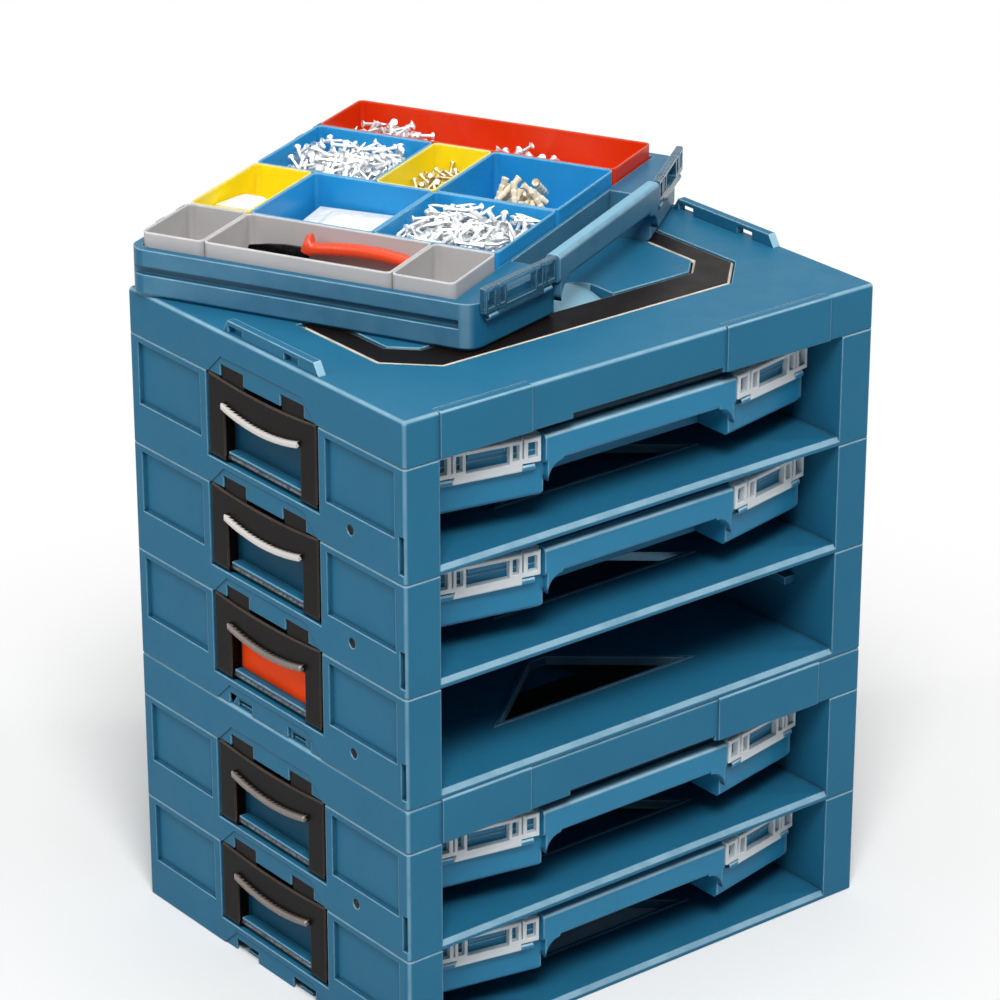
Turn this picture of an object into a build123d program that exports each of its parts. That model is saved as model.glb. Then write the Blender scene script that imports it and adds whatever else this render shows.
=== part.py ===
"""Two stacked slide-in racks of small-parts cases, with an open case of bins on top."""

import os
from math import atan2, cos, degrees, radians, sin

from build123d import *

# Rack modules
post_width = 31
case_side_gap = 6.5
case_set_back = 6
case_rear_gap = 20
case_sit_height = 30
case_head_gap = 5.5
rack_corner_radius = 4
lid_height = 35.5
upper_bay_count = 3
lower_bay_count = 2
shelf_thickness = 6
skin = 3
post_depth = 10
seam_chamfer = 1.5
shelf_edge_chamfer = 3
cut_over = 1

# Triangular cut-out in each shelf
shelf_hole_setback = 59
shelf_hole_depth = 67
shelf_hole_front_width = 180
shelf_hole_rear_width = 16
shelf_rim_width = 3
shelf_rim_height = 1.2

# Runner rails on the bay walls
rail_gap = 1
rail_height = 6
rail_front_gap = 45
rail_rear_gap = 20

# Side panels, corner slots and screw bosses
panel_recess = 3
panel_sill = 33
panel_head = 6
panel_edge = 12
corner_slot_setback = 2
corner_slot_width = 5
corner_slot_depth = 4
corner_slot_bottom = 7
corner_slot_top = 36
screw_pocket_gap = 29
screw_height = 21
screw_boss_radius = 6
screw_head_radius = 3.5
screw_head_height = 2.4
screw_head_gap = 0.5
screw_shank_radius = 1.75
screw_length = 12
press_gap = 0.02

# Side clips
clip_width = 134
clip_thickness = 9
clip_arm_width = 20
clip_side_gap = 3
clip_back_gap = 1
clip_foot_gap = 0.5
clip_pocket_bottom = 20.5
clip_pocket_wall = 8
clip_hook_gap = 0.5
clip_edge_chamfer = 1
clip_top_sag = 3.5
clip_grip_drop = 24
clip_grip_sag = 6
clip_grip_height = 5
clip_grip_reach = 4
clip_grip_round = 1.8
clip_sill_half = 45
clip_sill_bottom = 28.5
clip_sill_height = 2
clip_sill_reach = 8
hook_pocket_height = 10
hook_plate = 1.5
hook_arch_sink = 1
hook_arch_height = 16
hook_arch_foot = 67
hook_arch_half = 50
hook_lug_gap = 1
hook_lug_front_gap = 1
hook_lug_drop = 8
clip_pin_radius = 2
clip_pin_bite = 5
pivot_gap = 0.05
ledge_height = 2
ledge_reach = 5
ledge_gap = 0.5
window_near = 23
window_far = 52
window_height = 9.5
marker_plate_thickness = 1.4
marker_plate_gap = 2

# Raised catches on the lid
catch_front_gap = 2
catch_rear_gap = 20
catch_width = 6.5
catch_clearance = 0.5
catch_slope = 6
catch_slot_near = 26
catch_slot_far = 43
catch_slot_height = 6

# Lid front
lid_edge_radius = 4
pad_proud = 1.4
pad_top_depth = 6
pad_edge_chamfer = 1
pad_line_width = 1
pad_line_depth = 0.8
pad_left_width = 82
pad_right_width = 102
pad_right_inset = 14
lid_notch_width = 142
lid_notch_shift = 0.5
lid_notch_height = 4

# Carry handle lying in a well of the lid
handle_half_width = 168
handle_arm_width = 22
handle_setback = 67
handle_reach = 124
handle_bar_width = 36
handle_corner = 33
handle_inner_corner = 18
handle_thickness = 9
handle_sink = 0.5
handle_well_gap = 1.5
handle_edge_round = 1.5
handle_pin_radius = 2
scoop_half_width = 53
scoop_run = 40
scoop_belly = 2.5
scoop_corner = 18

# Case body
case_width = 367
case_depth = 316
case_height = 53
case_wall = 2.5
case_floor = 2.5
case_corner_radius = 14
case_bottom_chamfer = 3
front_draft = 8
front_draft_top = 20
front_sweep_run = 95.5
case_front_sweep = 19
case_lid_depth = 16
rim_band = 13
rim_reach = 4.5
tub_setback = 43
groove_gap = 0.5
groove_end_gap = 2
crown_drop = 4.5

# Case handle bar
bar_depth = 12
bar_height = 22
bar_round = 4
bar_overlap = 2
bar_gap = 1
bar_arch_radius = 14

# Case latches
latch_zone = 6
latch_thickness = 5.2
latch_gap = 0.4
latch_pivot_drop = 11.5
latch_start = 4
latch_width = 86
latch_ear_width = 14
latch_ear_drop = 7.5
latch_slot_width = 1.5
latch_slot_drop = 4
latch_window_width = 35
latch_window_drop = 6
latch_ear_margin = 3
latch_vent_width = 5.4
latch_vent_margin = 2.3
latch_vent_rise = 2
latch_head_height = 3.3
latch_edge_round = 1
latch_pin_radius = 1.5
lug_width = 10
lug_gap = 0.4
catch_rib_side_gap = 2.5
catch_rib_top_gap = 0.2
catch_rib_height = 4
catch_rib_reach = 3.4
weld_depth = 1
case_lid_chamfer = 4

# Case hinges
hinge_inset = 73.5
knuckle_radius = 3
knuckle_width = 20
knuckle_lug_width = 10
knuckle_side_gap = 0.15
knuckle_wall_gap = 0.2
hinge_pin_radius = 1.25

# Bins of the open case
bin_outer_column = 71.5
bin_side_gap = 1
bin_gap = 0.6
bin_wall = 1.5
bin_corner_radius = 5
bin_rise = 0.3
bin_headroom = 5

# Place of the open case on the stack
open_case_x = 1
open_case_catch_gap = 9.9
open_case_turn = 26

# Derived sizes of the rack
bay_opening_width = case_width + 2 * case_side_gap
rack_width = bay_opening_width + 2 * post_width
rack_depth = case_set_back + case_depth + case_rear_gap
bay_height = case_sit_height + case_height + case_head_gap
rim_height = case_height - case_lid_depth

# Derived places on the rack
half_width = rack_width / 2
half_depth = rack_depth / 2
half_opening = bay_opening_width / 2
shelf_hole_front = half_depth - shelf_hole_setback
shelf_hole_rear = shelf_hole_front - shelf_hole_depth
pocket_half = clip_width / 2 + clip_side_gap
screw_forward = pocket_half + clip_pocket_wall + screw_pocket_gap
pocket_floor = half_width - clip_thickness - clip_back_gap
clip_inner = half_width - clip_thickness
clip_pivot_x = half_width - clip_thickness / 2
clip_pivot_z = clip_pocket_bottom + clip_foot_gap + clip_thickness / 2
clip_top = bay_height - clip_hook_gap
hook_lug_top = bay_height + window_height - hook_lug_gap
clip_grip = bay_height - clip_grip_drop
clip_window_half = clip_width / 2 - clip_arm_width
rail_top = case_sit_height + rim_height - rim_band
rail_inner = case_width / 2 - rim_reach + rail_gap
catch_inner = pocket_floor + catch_clearance
catch_front = pocket_half - catch_front_gap
catch_rear = pocket_half - catch_rear_gap
catch_height = hook_pocket_height - catch_clearance
front_slot = (-catch_slot_far, -catch_slot_near)
rear_slot = (catch_slot_near, catch_slot_far)
hook_plate_inner = half_width - hook_arch_sink - hook_plate

pad_left_start = -half_opening
pad_left_end = pad_left_start + pad_left_width
pad_right_end = half_opening - pad_right_inset
pad_right_start = pad_right_end - pad_right_width
lid_notch_start = lid_notch_shift - lid_notch_width / 2
lid_notch_end = lid_notch_shift + lid_notch_width / 2
handle_front = half_depth - handle_setback
handle_pivot_y = handle_reach - handle_front

# Derived places on a case
half_case = case_width / 2
case_front_flat = case_width - 2 * front_sweep_run
half_flat = case_front_flat / 2
tub_front = case_depth / 2 - tub_setback
hinge_offset = half_case - hinge_inset
body_front = case_depth / 2 - latch_zone
hinge_pivot_y = case_depth / 2 - knuckle_radius
body_rear = hinge_pivot_y - knuckle_radius - knuckle_wall_gap
bar_front = case_depth / 2
bar_back = bar_front - bar_depth
sweep_angle = degrees(atan2(case_front_sweep, front_sweep_run))
groove_top = rim_height - rim_band
groove_bottom = groove_top - rail_height - groove_gap
groove_front = case_set_back + case_depth / 2 - rail_front_gap + groove_end_gap
latch_pivot_y = -(latch_gap + latch_thickness / 2)
latch_pivot_height = rim_height - latch_pivot_drop
latch_ear_bottom = rim_height - latch_ear_drop
latch_slot_bottom = rim_height - latch_slot_drop
latch_window_bottom = rim_height - latch_window_drop
latch_end = latch_start + latch_width
flap_start = latch_start + latch_ear_width + latch_slot_width
flap_end = latch_end - latch_ear_width - latch_slot_width
flap_middle = (flap_start + flap_end) / 2
flap_width = flap_end - flap_start
latch_pin_length = flap_width + 2 * (lug_width + lug_gap)
latch_top = case_height - crown_drop
latch_window_top = latch_top - latch_head_height
catch_rib_top = latch_window_top - catch_rib_top_gap
catch_rib_width = latch_window_width - 2 * catch_rib_side_gap
bar_top = latch_top

# The open case lies behind the lid's catches, clear of them by its front right corner
open_corner_side = half_case * sin(radians(open_case_turn))
open_corner_front = (body_front - case_front_sweep) * cos(radians(open_case_turn))
open_case_y = catch_rear + open_case_catch_gap - open_corner_side + open_corner_front

# Levels of the stack, top module first
lower_lid_level = lower_bay_count * bay_height
upper_base_level = lower_lid_level + lid_height
upper_lid_level = upper_base_level + upper_bay_count * bay_height
stack_height = upper_lid_level + lid_height
upper_levels = [upper_base_level + bay_height * step for step in reversed(range(upper_bay_count))]
lower_levels = [bay_height * step for step in reversed(range(lower_bay_count))]
bay_levels = upper_levels + lower_levels
empty_bay = upper_bay_count


def block(low, high, mode=Mode.ADD):
    """Adds or cuts a box between two corners in the open part."""
    with Locations(tuple((a + b) / 2 for a, b in zip(low, high))):
        Box(*(abs(b - a) for a, b in zip(low, high)), mode=mode)


def rod(centre, radius, length, turn, mode=Mode.ADD):
    """Adds or cuts a round bar at a centre, laid along X or Y by its turn."""
    with Locations(Location(centre, turn)):
        Cylinder(radius, length, mode=mode)


def save(shape, name):
    """Names one piece and writes it out."""
    shape.label = name
    export_step(shape, f"parts/{name}.step")


along_x = (0, 90, 0)
along_y = (90, 0, 0)


def side_fittings(side):
    """Cuts the hook pocket, its arch and its two windows on one side, and adds the ledges."""
    outer = side * (half_width + cut_over + lid_edge_radius)
    floor = side * pocket_floor
    plate_inner = side * hook_plate_inner
    block((floor, -pocket_half, -cut_over), (plate_inner, pocket_half, hook_pocket_height), Mode.SUBTRACT)
    with BuildSketch(Plane.YZ.offset(side * (half_width - hook_arch_sink))) as arch:
        Polygon(
            (-hook_arch_foot, -cut_over),
            (hook_arch_foot, -cut_over),
            (hook_arch_foot, 0),
            (hook_arch_half, hook_arch_height),
            (-hook_arch_half, hook_arch_height),
            (-hook_arch_foot, 0),
            align=None,
        )
    extrude(arch.sketch, amount=side * (hook_arch_sink + cut_over), mode=Mode.SUBTRACT)
    for slot in (front_slot, rear_slot):
        ledge_from = (side * (pocket_floor - weld_depth), slot[0] + ledge_gap, 0)
        ledge_to = (side * (pocket_floor + ledge_reach), slot[1] - ledge_gap, ledge_height)
        block(ledge_from, ledge_to)
    for end in (-1, 1):
        window_from = (side * (hook_plate_inner - hook_plate), end * window_near, -cut_over)
        block(window_from, (outer, end * window_far, window_height), Mode.SUBTRACT)


def handle_points(rear):
    """Plan points of the U-shaped handle, with its arms ending at a rear line."""
    inner = handle_half_width - handle_arm_width
    bar_rear = handle_front - handle_bar_width
    half = [
        (handle_half_width, rear),
        (handle_half_width, -handle_front + handle_corner),
        (handle_half_width - handle_corner, -handle_front),
    ]
    half_inner = [
        (inner, rear),
        (inner, -bar_rear + handle_inner_corner),
        (inner - handle_inner_corner, -bar_rear),
    ]
    outside = half + [(-x, y) for x, y in reversed(half)]
    inside = half_inner + [(-x, y) for x, y in reversed(half_inner)]
    return outside + list(reversed(inside))


os.makedirs("parts", exist_ok=True)

# Bay module
with BuildPart() as bay:
    with BuildSketch():
        RectangleRounded(rack_width, rack_depth, rack_corner_radius)
    extrude(amount=bay_height)
    chamfer(bay.faces().sort_by(Axis.Z)[-1].edges(), seam_chamfer)
    opening_from = (-half_opening, -half_depth - cut_over, shelf_thickness)
    opening_to = (half_opening, half_depth - skin, bay_height + cut_over)
    block(opening_from, opening_to, Mode.SUBTRACT)
    front_edges = bay.edges().filter_by(Axis.X).group_by(Axis.Y)[0]
    long_edges = front_edges.filter_by(lambda edge: edge.length > half_opening)
    chamfer(long_edges.sort_by(Axis.Z)[-1], shelf_edge_chamfer)
    for side in (-1, 1):
        deep = side * (half_width - panel_recess - skin)
        shallow = side * (pocket_floor - skin)
        near = side * (half_opening + skin)
        cell_end = pocket_half + clip_pocket_wall
        cell_rear = half_depth - post_depth
        cell_top = bay_height - skin
        block((near, -cell_rear, -cut_over), (deep, -cell_end, cell_top), Mode.SUBTRACT)
        block((near, cell_end, -cut_over), (deep, cell_rear, cell_top), Mode.SUBTRACT)
        block((near, -pocket_half, -cut_over), (shallow, pocket_half, cell_top), Mode.SUBTRACT)
        outer = side * (half_width + cut_over)
        for end in (-1, 1):
            panel_from = (side * (half_width - panel_recess), end * cell_end, panel_sill)
            panel_to = (outer, end * (half_depth - panel_edge), bay_height - panel_head)
            block(panel_from, panel_to, Mode.SUBTRACT)
        pocket_from = (side * pocket_floor, -pocket_half, clip_pocket_bottom)
        block(pocket_from, (outer, pocket_half, bay_height + cut_over), Mode.SUBTRACT)
        side_fittings(side)
        sill_from = (side * (pocket_floor - weld_depth), -clip_sill_half, clip_sill_bottom)
        sill_top = clip_sill_bottom + clip_sill_height
        block(sill_from, (side * (pocket_floor + clip_sill_reach), clip_sill_half, sill_top))
        pin_hole = 2 * (pocket_half + clip_pin_bite)
        pin_centre = (side * clip_pivot_x, 0, clip_pivot_z)
        rod(pin_centre, clip_pin_radius + press_gap, pin_hole, along_y, Mode.SUBTRACT)
        slot_front = -half_depth + corner_slot_setback
        slot_from = (side * (half_width - corner_slot_depth), slot_front, corner_slot_bottom)
        block(slot_from, (outer, slot_front + corner_slot_width, corner_slot_top), Mode.SUBTRACT)
        boss_length = half_width - half_opening - skin
        boss_centre = (side * (half_opening + boss_length / 2), -screw_forward, screw_height)
        rod(boss_centre, screw_boss_radius, boss_length, along_x)
        seat_depth = screw_head_height + screw_head_gap
        seat_centre = (side * (half_width - seat_depth / 2), -screw_forward, screw_height)
        rod(seat_centre, screw_head_radius + screw_head_gap, seat_depth, along_x, Mode.SUBTRACT)
        hole_centre = (side * (half_width - seat_depth - screw_length / 2), -screw_forward, screw_height)
        rod(hole_centre, screw_shank_radius + press_gap, screw_length, along_x, Mode.SUBTRACT)
        rail_from = (side * rail_inner, -half_depth + rail_front_gap, rail_top - rail_height)
        block(rail_from, (near, half_depth - rail_rear_gap, rail_top))
    with BuildSketch() as shelf_hole:
        Polygon(
            (-shelf_hole_front_width / 2, -shelf_hole_front),
            (shelf_hole_front_width / 2, -shelf_hole_front),
            (shelf_hole_rear_width / 2, -shelf_hole_rear),
            (-shelf_hole_rear_width / 2, -shelf_hole_rear),
            align=None,
        )
        offset(amount=shelf_rim_width, kind=Kind.INTERSECTION)
    extrude(amount=shelf_thickness + shelf_rim_height)
    with BuildSketch():
        add(shelf_hole.sketch)
        offset(amount=-shelf_rim_width, kind=Kind.INTERSECTION)
    extrude(amount=shelf_thickness + shelf_rim_height, mode=Mode.SUBTRACT)

for number, level in enumerate(bay_levels, start=1):
    save(bay.part.moved(Location((0, 0, level))), f"bay_{number}")

# Finger scoop behind the handle bar, as its shell and its hollow
well_floor = lid_height - handle_sink - handle_thickness - handle_sink
handle_pivot_z = lid_height - handle_sink - handle_thickness / 2
scoop_front = -(handle_front - handle_bar_width)
scoop_rear = scoop_front + scoop_run
scoop_solids = []
for low, wide in ((well_floor - skin, skin), (well_floor, 0)):
    with BuildPart() as scoop:
        with BuildSketch(Plane.YZ):
            with BuildLine():
                top = lid_height - wide / 2
                belly = (scoop_front + scoop_run / 2, low + scoop_belly)
                ThreePointArc((scoop_front, low), belly, (scoop_rear + wide, top))
                Polyline((scoop_rear + wide, top), (scoop_front, top), (scoop_front, low))
            make_face()
        extrude(amount=scoop_half_width + wide, both=True)
        with BuildSketch(Plane.XY.offset(low - cut_over)):
            with Locations((0, scoop_front + wide / 2)):
                plan_width = 2 * (scoop_half_width + wide)
                RectangleRounded(plan_width, 2 * scoop_run + wide, scoop_corner)
        extrude(amount=lid_height, mode=Mode.INTERSECT)
    scoop_solids.append(scoop.part)

# Rack lid
with BuildPart() as rack_lid:
    with BuildSketch():
        RectangleRounded(rack_width, rack_depth, rack_corner_radius)
    extrude(amount=lid_height)
    fillet(rack_lid.faces().sort_by(Axis.Z)[-1].edges(), lid_edge_radius)
    hollow_from = (-half_opening, -half_depth + skin, -cut_over)
    block(hollow_from, (half_opening, half_depth - skin, lid_height - skin), Mode.SUBTRACT)
    for side in (-1, 1):
        near = side * (half_opening + skin)
        cell_from = (near, -half_depth + post_depth, -cut_over)
        cell_to = (side * (pocket_floor - skin), half_depth - post_depth, lid_height - skin)
        block(cell_from, cell_to, Mode.SUBTRACT)
        side_fittings(side)
    for start, end in ((pad_left_start, pad_left_end), (pad_right_start, pad_right_end)):
        with BuildSketch(Plane.YZ.offset(start)):
            pad_front = -half_depth - pad_proud
            Polygon(
                (pad_front, 0),
                (pad_front, lid_height - pad_edge_chamfer),
                (pad_front + pad_edge_chamfer, lid_height),
                (-half_depth + pad_top_depth, lid_height),
                (-half_depth + pad_top_depth, lid_height - skin),
                (-half_depth + weld_depth, lid_height - pad_top_depth),
                (-half_depth + weld_depth, 0),
                align=None,
            )
        extrude(amount=end - start)
        line_from = (start, -half_depth + pad_top_depth, lid_height - pad_line_depth)
        line_to = (end, -half_depth + pad_top_depth + pad_line_width, lid_height + cut_over)
        block(line_from, line_to, Mode.SUBTRACT)
    notch_from = (lid_notch_start, -half_depth - cut_over, -cut_over)
    block(notch_from, (lid_notch_end, -half_depth + skin + cut_over, lid_notch_height), Mode.SUBTRACT)
    with BuildSketch(Plane.XY.offset(well_floor - skin)):
        Polygon(*handle_points(handle_pivot_y + handle_thickness / 2), align=None)
        offset(amount=handle_well_gap + skin, kind=Kind.INTERSECTION)
    extrude(amount=lid_height - skin - well_floor + skin)
    with BuildSketch(Plane.XY.offset(well_floor)):
        Polygon(*handle_points(handle_pivot_y + handle_thickness / 2), align=None)
        offset(amount=handle_well_gap, kind=Kind.INTERSECTION)
    extrude(amount=lid_height, mode=Mode.SUBTRACT)
    add(scoop_solids[0])
    add(scoop_solids[1], mode=Mode.SUBTRACT)
    for side in (-1, 1):
        arm_middle = side * (handle_half_width - handle_arm_width / 2)
        pin_hole = handle_arm_width + 2 * (handle_well_gap + skin)
        pin_centre = (arm_middle, handle_pivot_y, handle_pivot_z)
        rod(pin_centre, handle_pin_radius + press_gap, pin_hole, along_x, Mode.SUBTRACT)

# Raised catches on both sides of a lid
with BuildPart() as lid_catches:
    for side in (-1, 1):
        with BuildSketch(Plane.YZ.offset(side * catch_inner)):
            Polygon(
                (-catch_front, lid_height),
                (-catch_front + catch_slope, lid_height + catch_height),
                (catch_rear - catch_slope, lid_height + catch_height),
                (catch_rear, lid_height),
                align=None,
            )
        extrude(amount=side * catch_width)
        for slot in (front_slot, rear_slot):
            slot_from = (side * (catch_inner - cut_over), slot[0], lid_height - cut_over)
            slot_top = lid_height + catch_slot_height
            slot_to = (side * (catch_inner + catch_width + cut_over), slot[1], slot_top)
            block(slot_from, slot_to, Mode.SUBTRACT)

# Carry handle
with BuildPart() as carry_handle:
    with BuildSketch(Plane.XY.offset(handle_pivot_z - handle_thickness / 2)):
        Polygon(*handle_points(handle_pivot_y), align=None)
    extrude(amount=handle_thickness)
    bar_edges = carry_handle.faces().sort_by(Axis.Z)[-1].edges().filter_by(lambda edge: edge.center().Y < 0)
    chamfer(bar_edges, handle_edge_round)
    for side in (-1, 1):
        arm_middle = side * (handle_half_width - handle_arm_width / 2)
        pin_centre = (arm_middle, handle_pivot_y, handle_pivot_z)
        rod(pin_centre, handle_thickness / 2, handle_arm_width, along_x)
        bore_length = handle_arm_width + 2 * cut_over
        rod(pin_centre, handle_pin_radius + pivot_gap, bore_length, along_x, Mode.SUBTRACT)

lid_levels = {"upper": upper_lid_level, "lower": lower_lid_level}
for name, level in lid_levels.items():
    save(rack_lid.part.moved(Location((0, 0, level))), f"rack_lid_{name}")
    save(lid_catches.part.moved(Location((0, 0, level))), f"lid_catches_{name}")
    save(carry_handle.part.moved(Location((0, 0, level))), f"carry_handle_{name}")

# Handle pins
with BuildPart() as handle_pins:
    for level in lid_levels.values():
        for side in (-1, 1):
            arm_middle = side * (handle_half_width - handle_arm_width / 2)
            pin_length = handle_arm_width + 2 * (handle_well_gap + skin)
            pin_centre = (arm_middle, handle_pivot_y, level + handle_pivot_z)
            rod(pin_centre, handle_pin_radius, pin_length, along_x)
save(handle_pins.part, "handle_pins")

# Side clip, on the right side of a bay
with BuildPart() as clip:
    half_clip = clip_width / 2
    with BuildSketch(Plane.YZ.offset(clip_inner)):
        with BuildLine():
            ThreePointArc((-half_clip, clip_top), (0, clip_top - clip_top_sag), (half_clip, clip_top))
            Polyline(
                (half_clip, clip_top),
                (half_clip, clip_pivot_z),
                (clip_window_half, clip_pivot_z),
                (clip_window_half, clip_grip),
            )
            grip_low = clip_grip - clip_grip_sag
            ThreePointArc((clip_window_half, clip_grip), (0, grip_low), (-clip_window_half, clip_grip))
            Polyline(
                (-clip_window_half, clip_grip),
                (-clip_window_half, clip_pivot_z),
                (-half_clip, clip_pivot_z),
                (-half_clip, clip_top),
            )
        make_face()
    extrude(amount=clip_thickness)
    chamfer(clip.faces().sort_by(Axis.X)[-1].edges(), clip_edge_chamfer)
    with BuildSketch(Plane.YZ.offset(half_width - weld_depth - clip_edge_chamfer)):
        with BuildLine():
            grip_low = clip_grip - clip_grip_sag
            grip_top = clip_grip + clip_grip_height
            ThreePointArc((clip_window_half, clip_grip), (0, grip_low), (-clip_window_half, clip_grip))
            Line((-clip_window_half, clip_grip), (-clip_window_half, grip_top))
            grip_mid = (0, grip_low + clip_grip_height)
            ThreePointArc((-clip_window_half, grip_top), grip_mid, (clip_window_half, grip_top))
            Line((clip_window_half, grip_top), (clip_window_half, clip_grip))
        make_face()
    extrude(amount=weld_depth + clip_edge_chamfer + clip_grip_reach)
    fillet(clip.faces().sort_by(Axis.X)[-1].edges(), clip_grip_round)
    for end in (-1, 1):
        lug_from = (clip_inner, end * (window_near + hook_lug_gap), clip_top - hook_lug_drop)
        lug_front = half_width - hook_arch_sink - hook_lug_front_gap
        lug_to = (lug_front, end * (window_far - hook_lug_gap), hook_lug_top)
        block(lug_from, lug_to)
    notch_from = (clip_inner - cut_over, -half_clip - cut_over, bay_height - ledge_gap)
    notch_top = bay_height + ledge_height + ledge_gap
    notch_to = (pocket_floor + ledge_reach + ledge_gap, half_clip + cut_over, notch_top)
    block(notch_from, notch_to, Mode.SUBTRACT)
    for end in (-1, 1):
        arm_centre = (clip_pivot_x, end * (half_clip - clip_arm_width / 2), clip_pivot_z)
        rod(arm_centre, clip_thickness / 2, clip_arm_width, along_y)
    rod((clip_pivot_x, 0, clip_pivot_z), clip_pin_radius + pivot_gap, rack_depth, along_y, Mode.SUBTRACT)

clip_left = clip.part.mirror(Plane.YZ)
for number, level in enumerate(bay_levels, start=1):
    save(clip.part.moved(Location((0, 0, level))), f"clip_right_{number}")
    save(clip_left.moved(Location((0, 0, level))), f"clip_left_{number}")

# Clip pins
with BuildPart() as clip_pins:
    for level in bay_levels:
        for side in (-1, 1):
            pin_centre = (side * clip_pivot_x, 0, level + clip_pivot_z)
            rod(pin_centre, clip_pin_radius, 2 * (pocket_half + clip_pin_bite), along_y)
save(clip_pins.part, "clip_pins")

# Side screws
with BuildPart() as side_screws:
    seat_depth = screw_head_height + screw_head_gap
    for level in bay_levels:
        for side in (-1, 1):
            head_x = side * (half_width - seat_depth + screw_head_height / 2)
            head_centre = (head_x, -screw_forward, level + screw_height)
            rod(head_centre, screw_head_radius, screw_head_height, along_x)
            shank_x = side * (half_width - seat_depth - screw_length / 2)
            shank_centre = (shank_x, -screw_forward, level + screw_height)
            rod(shank_centre, screw_shank_radius, screw_length, along_x)
save(side_screws.part, "side_screws")

# Marker plates behind the empty bay's clips
with BuildPart() as marker_plates:
    level = bay_levels[empty_bay - 1]
    plate_half = clip_window_half - marker_plate_gap
    plate_low = level + clip_sill_bottom + clip_sill_height
    plate_high = level + clip_grip - clip_grip_sag - marker_plate_gap
    for side in (-1, 1):
        plate_from = (side * pocket_floor, -plate_half, plate_low)
        plate_to = (side * (pocket_floor + marker_plate_thickness), plate_half, plate_high)
        block(plate_from, plate_to)
save(marker_plates.part, "marker_plates")

# Case plan outlines
with BuildSketch() as case_outline:
    Polygon(
        (-half_flat, -body_front),
        (half_flat, -body_front),
        (half_case, -body_front + case_front_sweep),
        (half_case, body_rear),
        (-half_case, body_rear),
        (-half_case, -body_front + case_front_sweep),
        align=None,
    )
    corners = case_outline.vertices().filter_by(lambda corner: abs(corner.X) > (half_flat + half_case) / 2)
    fillet(corners, case_corner_radius)

with BuildSketch() as lid_outline:
    add(case_outline.sketch)
    with Locations((0, -bar_front)):
        notch_width = case_front_flat + 2 * (bar_overlap + bar_gap)
        Rectangle(notch_width, 2 * (bar_depth + bar_gap), mode=Mode.SUBTRACT)

latch_seat = Location((half_flat, -body_front, 0), (0, 0, sweep_angle))


def at_latches(centre, turn=(0, 0, 0)):
    """Matching places on both swept faces of a case, from one place on the right face."""
    place = latch_seat * Location(centre, turn)
    mirrored = Location((-half_flat, -body_front, 0), (0, 0, -sweep_angle))
    opposite = mirrored * Location((-centre[0], centre[1], centre[2]), turn)
    return [place, opposite]


def knuckle_lugs(middle):
    """Middles of the two outer lugs of one hinge."""
    step = knuckle_width / 2 + knuckle_side_gap + knuckle_lug_width / 2
    return [middle - step, middle + step]


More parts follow.
